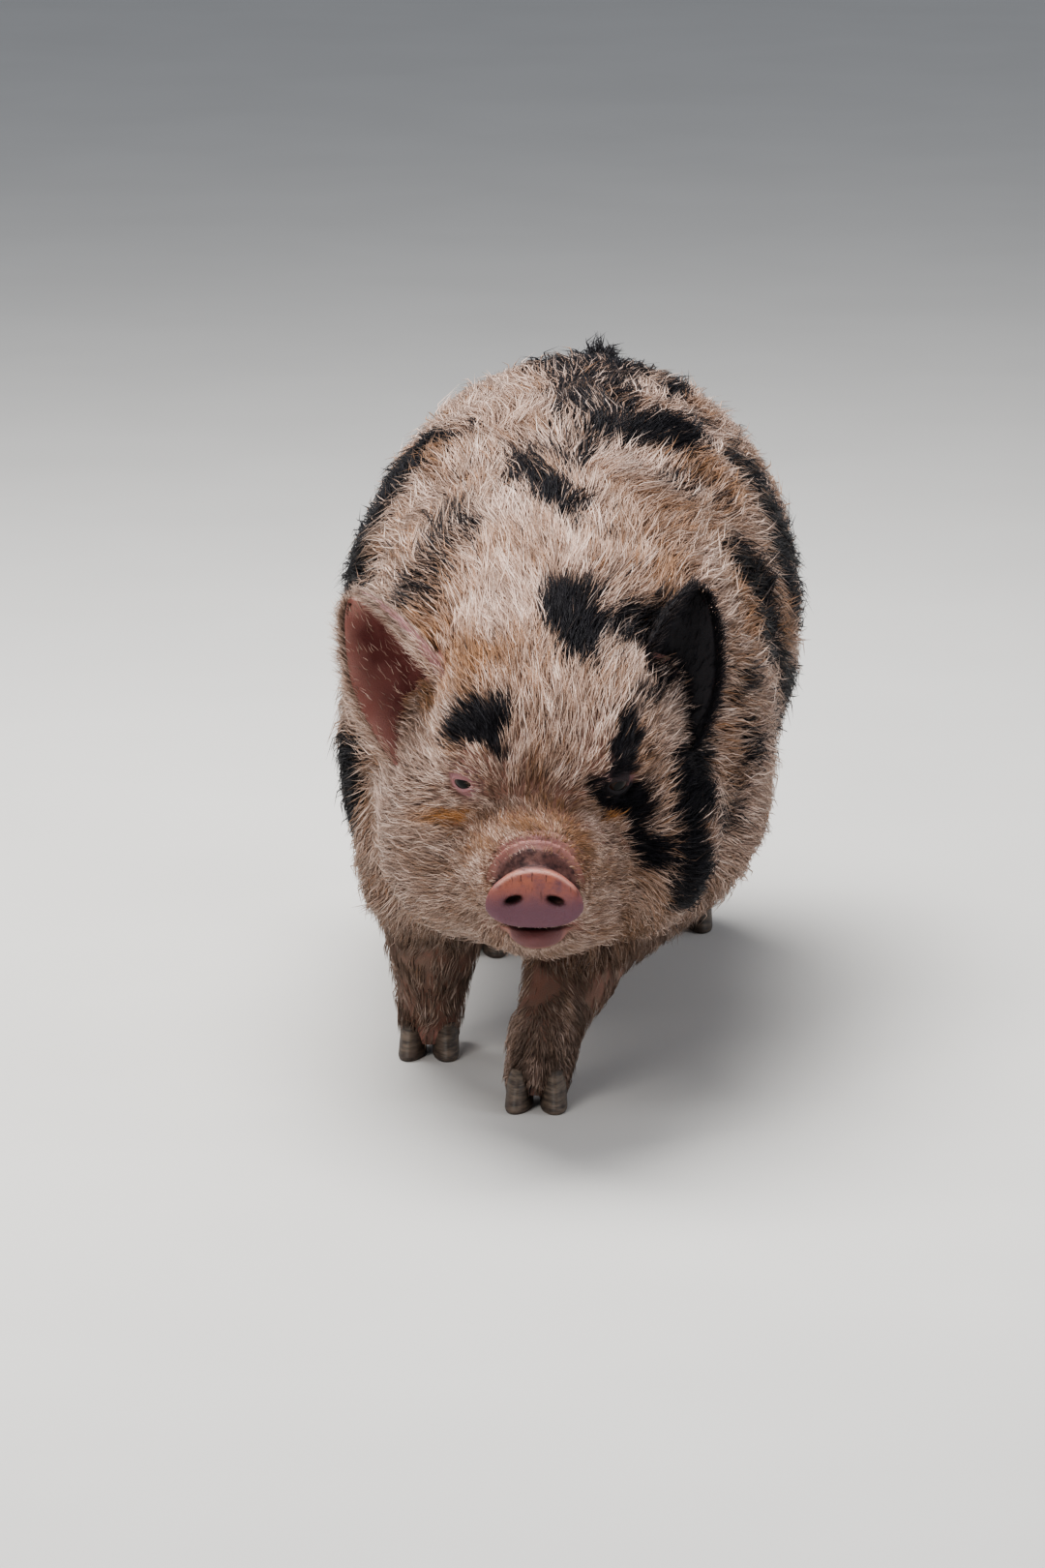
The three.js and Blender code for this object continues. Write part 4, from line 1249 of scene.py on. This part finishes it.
# %% Ear hair
def ear_tufts(name, count):
    ear = EARS[name]
    u, v = rng.uniform(0.05, 0.97, count), rng.uniform(-1, 1, count)
    rimmed = rng.random(count) < 0.4
    v = np.where(rimmed, np.sign(v) * (1 - 0.12 * rng.random(count) ** 2), v)
    back = rng.random(count) < np.where(rimmed, 0.6, 0.9)
    root = leaf(ear, u, v, back)
    du, dv = leaf(ear, u + 0.01, v, back) - root, leaf(ear, u, v + 0.01, back) - root
    out = unit(np.cross(du, dv))
    thick_way = leaf(ear, u, v, np.zeros(count, bool)) - leaf(ear, u, v, np.ones(count, bool))
    out = out * (np.sign((out * thick_way).sum(1)) * np.where(back, -1, 1))[:, None]
    toward_rim = unit(dv) * (np.sign(v) * v**2)[:, None] * 0.8
    way = unit(unit(du) + toward_rim + rng.normal(0, 0.16, (count, 3)))
    way = unit(way - out * (way * out).sum(1, keepdims=True))
    length = np.where(rimmed, 17, 14) * rng.uniform(0.6, 1.3, count)
    if name == "left":
        dark = np.where(back & (rng.random(count) < 0.3), 0.9, 1.0)
    else:
        dark = 0.7 * back * (u > 0.6) * rng.random(count)
    values = {"black": dark, "own": rng.random(count), "pale": rng.uniform(0.5, 1, count)}
    grow(
        "coat_ear_" + name, root, out, way, length, rng.uniform(0.35, 0.7, count),
        rng.uniform(0.6, 2.4, count), values, unwrap_ear(name, u, v, back), pull=0.2, hug=False,
    )


EAR_TUFTS = 4500
for name in EARS:
    ear_tufts(name, EAR_TUFTS)


# %% The tail's switch
def tail_tufts(count):
    joints = np.array([p for p, _ in TAIL], float)
    radii = np.array([r for _, r in TAIL], float)
    t = 1 + 4 * rng.random(count) ** 0.8
    i = np.minimum(t.astype(int), 4)
    share = (t - i)[:, None]
    centre = mix(joints[i], joints[i + 1], share)
    way = unit(joints[i + 1] - joints[i])
    turn = rng.uniform(0, 2 * math.pi, count)
    side = unit(np.cross(way, [1.0, 0.2, 0]))
    other = np.cross(way, side)
    out = side * np.cos(turn)[:, None] + other * np.sin(turn)[:, None]
    root = centre + out * (mix(radii[i], radii[i + 1], share[:, 0]) * 0.9)[:, None]
    lie = unit(way + [0, 0.05, -0.35] + rng.normal(0, 0.15, (count, 3)))
    values = {
        "black": 1.0 * (rng.random(count) < 0.94), "own": rng.random(count), "pale": np.full(count, 0.5),
    }
    uv = np.stack([0.02 + 0.1 * turn / (2 * math.pi), 0.29 + 0.02 * t / 5], 1)
    grow(
        "coat_tail", root, out, lie, rng.uniform(18, 34, count) + 3 * t, rng.uniform(0.9, 1.4, count),
        rng.uniform(0.5, 3, count), values, uv, pull=0.3, hug=False,
    )


TAIL_TUFTS = 2000
tail_tufts(TAIL_TUFTS)

# %% [markdown]
# ## Eyes
# A pig's eye is dark brown with a black pupil, wet and glossy. The ball's finish is drawn from how near
# a point is to the way the eye looks, and low roughness with a thin clear coat makes the wet shine.


# %% Eyeballs and their finish
IRIS = (0.035, 0.014, 0.007)
IRIS_DARK = (0.012, 0.006, 0.004)
EYE_WHITE = (0.30, 0.22, 0.19)
PUPIL = (0.002, 0.002, 0.002)


def sphere(centre, radius, across, around):
    down, turn = np.linspace(0, math.pi, across + 1), np.arange(around) * 2 * math.pi / around
    i, j = np.meshgrid(down, turn, indexing="ij")
    p = np.stack([np.sin(i) * np.cos(j), np.sin(i) * np.sin(j), np.cos(i)], -1).reshape(-1, 3)
    return p * radius + centre, ring_quads(across, around)[:, [0, 3, 2, 1]]


eye_finish = Finish(
    "wet_eye", roughness=0.2, specular_ior_level=0.15, coat_weight=0.05, coat_roughness=0.03
)
gaze = eye_finish.value("gaze")
streaks = eye_finish.noise(260, 4)
iris = eye_finish.blend(IRIS, IRIS_DARK, streaks.between(0.35, 0.65))
ball = eye_finish.blend(EYE_WHITE, iris, gaze.between(0.66, 0.72))
ball = eye_finish.blend(ball, PUPIL, gaze.between(0.9, 0.93))
eye_finish.feed(base_color=ball)
for name, (centre, out, level, up) in EYES.items():
    points, quads = sphere(centre, EYE_RADIUS, 40, 64)
    eye = build("eyeball_" + name, points, quads, {"gaze": unit(points - centre) @ out})
    eye.data.materials.append(eye_finish.material)
    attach(eye, "root")
    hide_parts("eye_" + name)
print("eyeballs", len(EYES))

# %% [markdown]
# ## Hooves
# Each foot has two toes in horn and two small dewclaws behind. The toe is a stack of rings, as in the
# solids but rounder, with faint growth lines, and the horn's finish is dark and scuffed.


# %% The finish of horn
HORN_DARK = (0.045, 0.034, 0.028)
HORN_PALE = (0.16, 0.12, 0.09)
horn = Finish("scuffed_horn", roughness=0.5)
lines = horn.noise(55, 4, 0.6, (1, 1, 6))
horn_tone = horn.blend(HORN_DARK, HORN_PALE, lines.between(0.35, 0.7))
# Mud blotches on the horn
horn_tone = horn.blend(horn_tone, MUD_AND_SHADE, horn.noise(80, 3).between(0.5, 0.75) * 0.6)
horn.feed(base_color=horn_tone, roughness=0.4 + lines * 0.3, normal=horn.bump(lines, 0.001))
print("horn finish with", len(horn.tree.nodes), "nodes")

# %% Toes and dewclaws
TOE_RINGS = 22
TOE_SEGMENTS = 40


def closed(rings):
    n = len(rings[0])
    rings = [np.tile(rings[0].mean(0), (n, 1)), *rings, np.tile(rings[-1].mean(0), (n, 1))]
    return np.concatenate(rings), ring_quads(len(rings) - 1, n)


def toe(x, y, way):
    """One toe: way is 1 or -1, for the side of the foot that it is on."""
    rings = []
    for z in HOOF_HEIGHT * np.linspace(0, 1, TOE_RINGS):
        size = np.interp(z, [0, 1, 3, HOOF_HEIGHT * 0.6, HOOF_HEIGHT], [0.93, 0.97, 1, 0.93, 0.78])
        size = size * (1 + 0.008 * math.sin(z * 1.9))
        back = np.interp(z, [3, HOOF_HEIGHT * 0.6, HOOF_HEIGHT], [0, 5, 12])
        angle = np.arange(TOE_SEGMENTS) * 2 * math.pi / TOE_SEGMENTS
        px = np.cos(angle) * TOE_WIDTH * size / 2
        py = np.sin(angle) * np.where(np.sin(angle) < 0, 1.15, 0.85) * TOE_LENGTH * size / 2 + back
        px = px * np.where(way * px < 0, 0.86, 1)
        rings.append(np.stack([
            x + way * (TOE_WIDTH / 2 + 0.8) + px + np.maximum(-py, 0) * way * 0.12,
            y - 6 + py, np.full(TOE_SEGMENTS, z),
        ], 1))
    return closed(rings)


def dewclaw(x, y, way):
    start, end = np.array([x + way * 11, y + 22, 52.0]), np.array([x + way * 15, y + 42, 27.0])
    along = unit(end - start)
    across = np.array([1.0, 0, 0])
    up = unit(np.cross(along, across))
    rings = []
    for share in np.linspace(0, 1.1, 12):
        size = np.interp(share, [0, 0.7, 1, 1.1], [9, 8, 5, 0.6])
        angle = np.arange(24) * math.pi / 12
        rings.append(
            mix(start, end, share) + np.outer(np.cos(angle) * size, across)
            + np.outer(np.sin(angle) * size * 0.75, up)
        )
    return closed(rings)


for foot, (x, y) in FEET.items():
    for which, way in (("outer", side_of(foot)), ("inner", -side_of(foot))):
        for kind, shape in (("hoof", toe), ("dewclaw", dewclaw)):
            points, quads = shape(x, y, way)
            piece = build(f"{kind}_horn_{foot}_{which}", points, quads, {})
            piece.data.materials.append(horn.material)
            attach(piece, "root")
            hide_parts(f"{kind}_{foot}_{which}")
print("hooves and dewclaws on", len(FEET), "feet")

# %% [markdown]
# ## Floor and light
# A plain pale floor on all sides, a broad soft light above the back, a smaller one in front, and a weak
# one from the side: near the overcast sky of the photograph. The look of the view deepens the blacks a
# little.

# %% Floor
FLOOR_HALF = 40.0
PAPER = (0.60, 0.59, 0.57)
PAPER_PALE = (0.66, 0.65, 0.63)
corners = np.array([[-1, -1, 0], [1, -1, 0], [1, 1, 0], [-1, 1, 0]]) * FLOOR_HALF / MM
floor = build("floor", corners, np.array([[0, 1, 2, 3]]), {})
paper = Finish("studio_paper", roughness=0.9)
paper.feed(base_color=paper.blend(PAPER, PAPER_PALE, paper.noise(3, 2)))
floor.data.materials.append(paper.material)
print("floor", 2 * FLOOR_HALF, "m wide")


# %% Lights
LIT_PLACE = Vector((0, -0.2, 0.25))


def area_light(name, place, power, width, height, colour):
    data = bpy.data.lights.new(name, "AREA")
    data.shape = "RECTANGLE"
    data.size, data.size_y = width, height
    data.energy = power
    data.color = colour
    point_along(name, data, place, LIT_PLACE - Vector(place))


area_light("sky_panel", (-0.5, 0.5, 3.2), 200, 2.4, 2.4, (1, 0.985, 0.96))
area_light("front_panel", (-1.4, -3.2, 2.2), 62, 1.6, 1.6, (1, 0.98, 0.95))
area_light("side_panel", (2.6, -0.8, 1.5), 20, 1.4, 2.0, (0.97, 0.98, 1))
world = bpy.data.worlds.new("studio")
bpy.context.scene.world = world
world.use_nodes = True
overcast = world.node_tree.nodes["Background"].inputs
overcast["Color"].default_value = (0.86, 0.91, 1.0, 1)
overcast["Strength"].default_value = 0.33
bpy.context.scene.view_settings.look = "AgX - Medium High Contrast"
print("lamps", len(bpy.data.lights), "and an overcast sky")
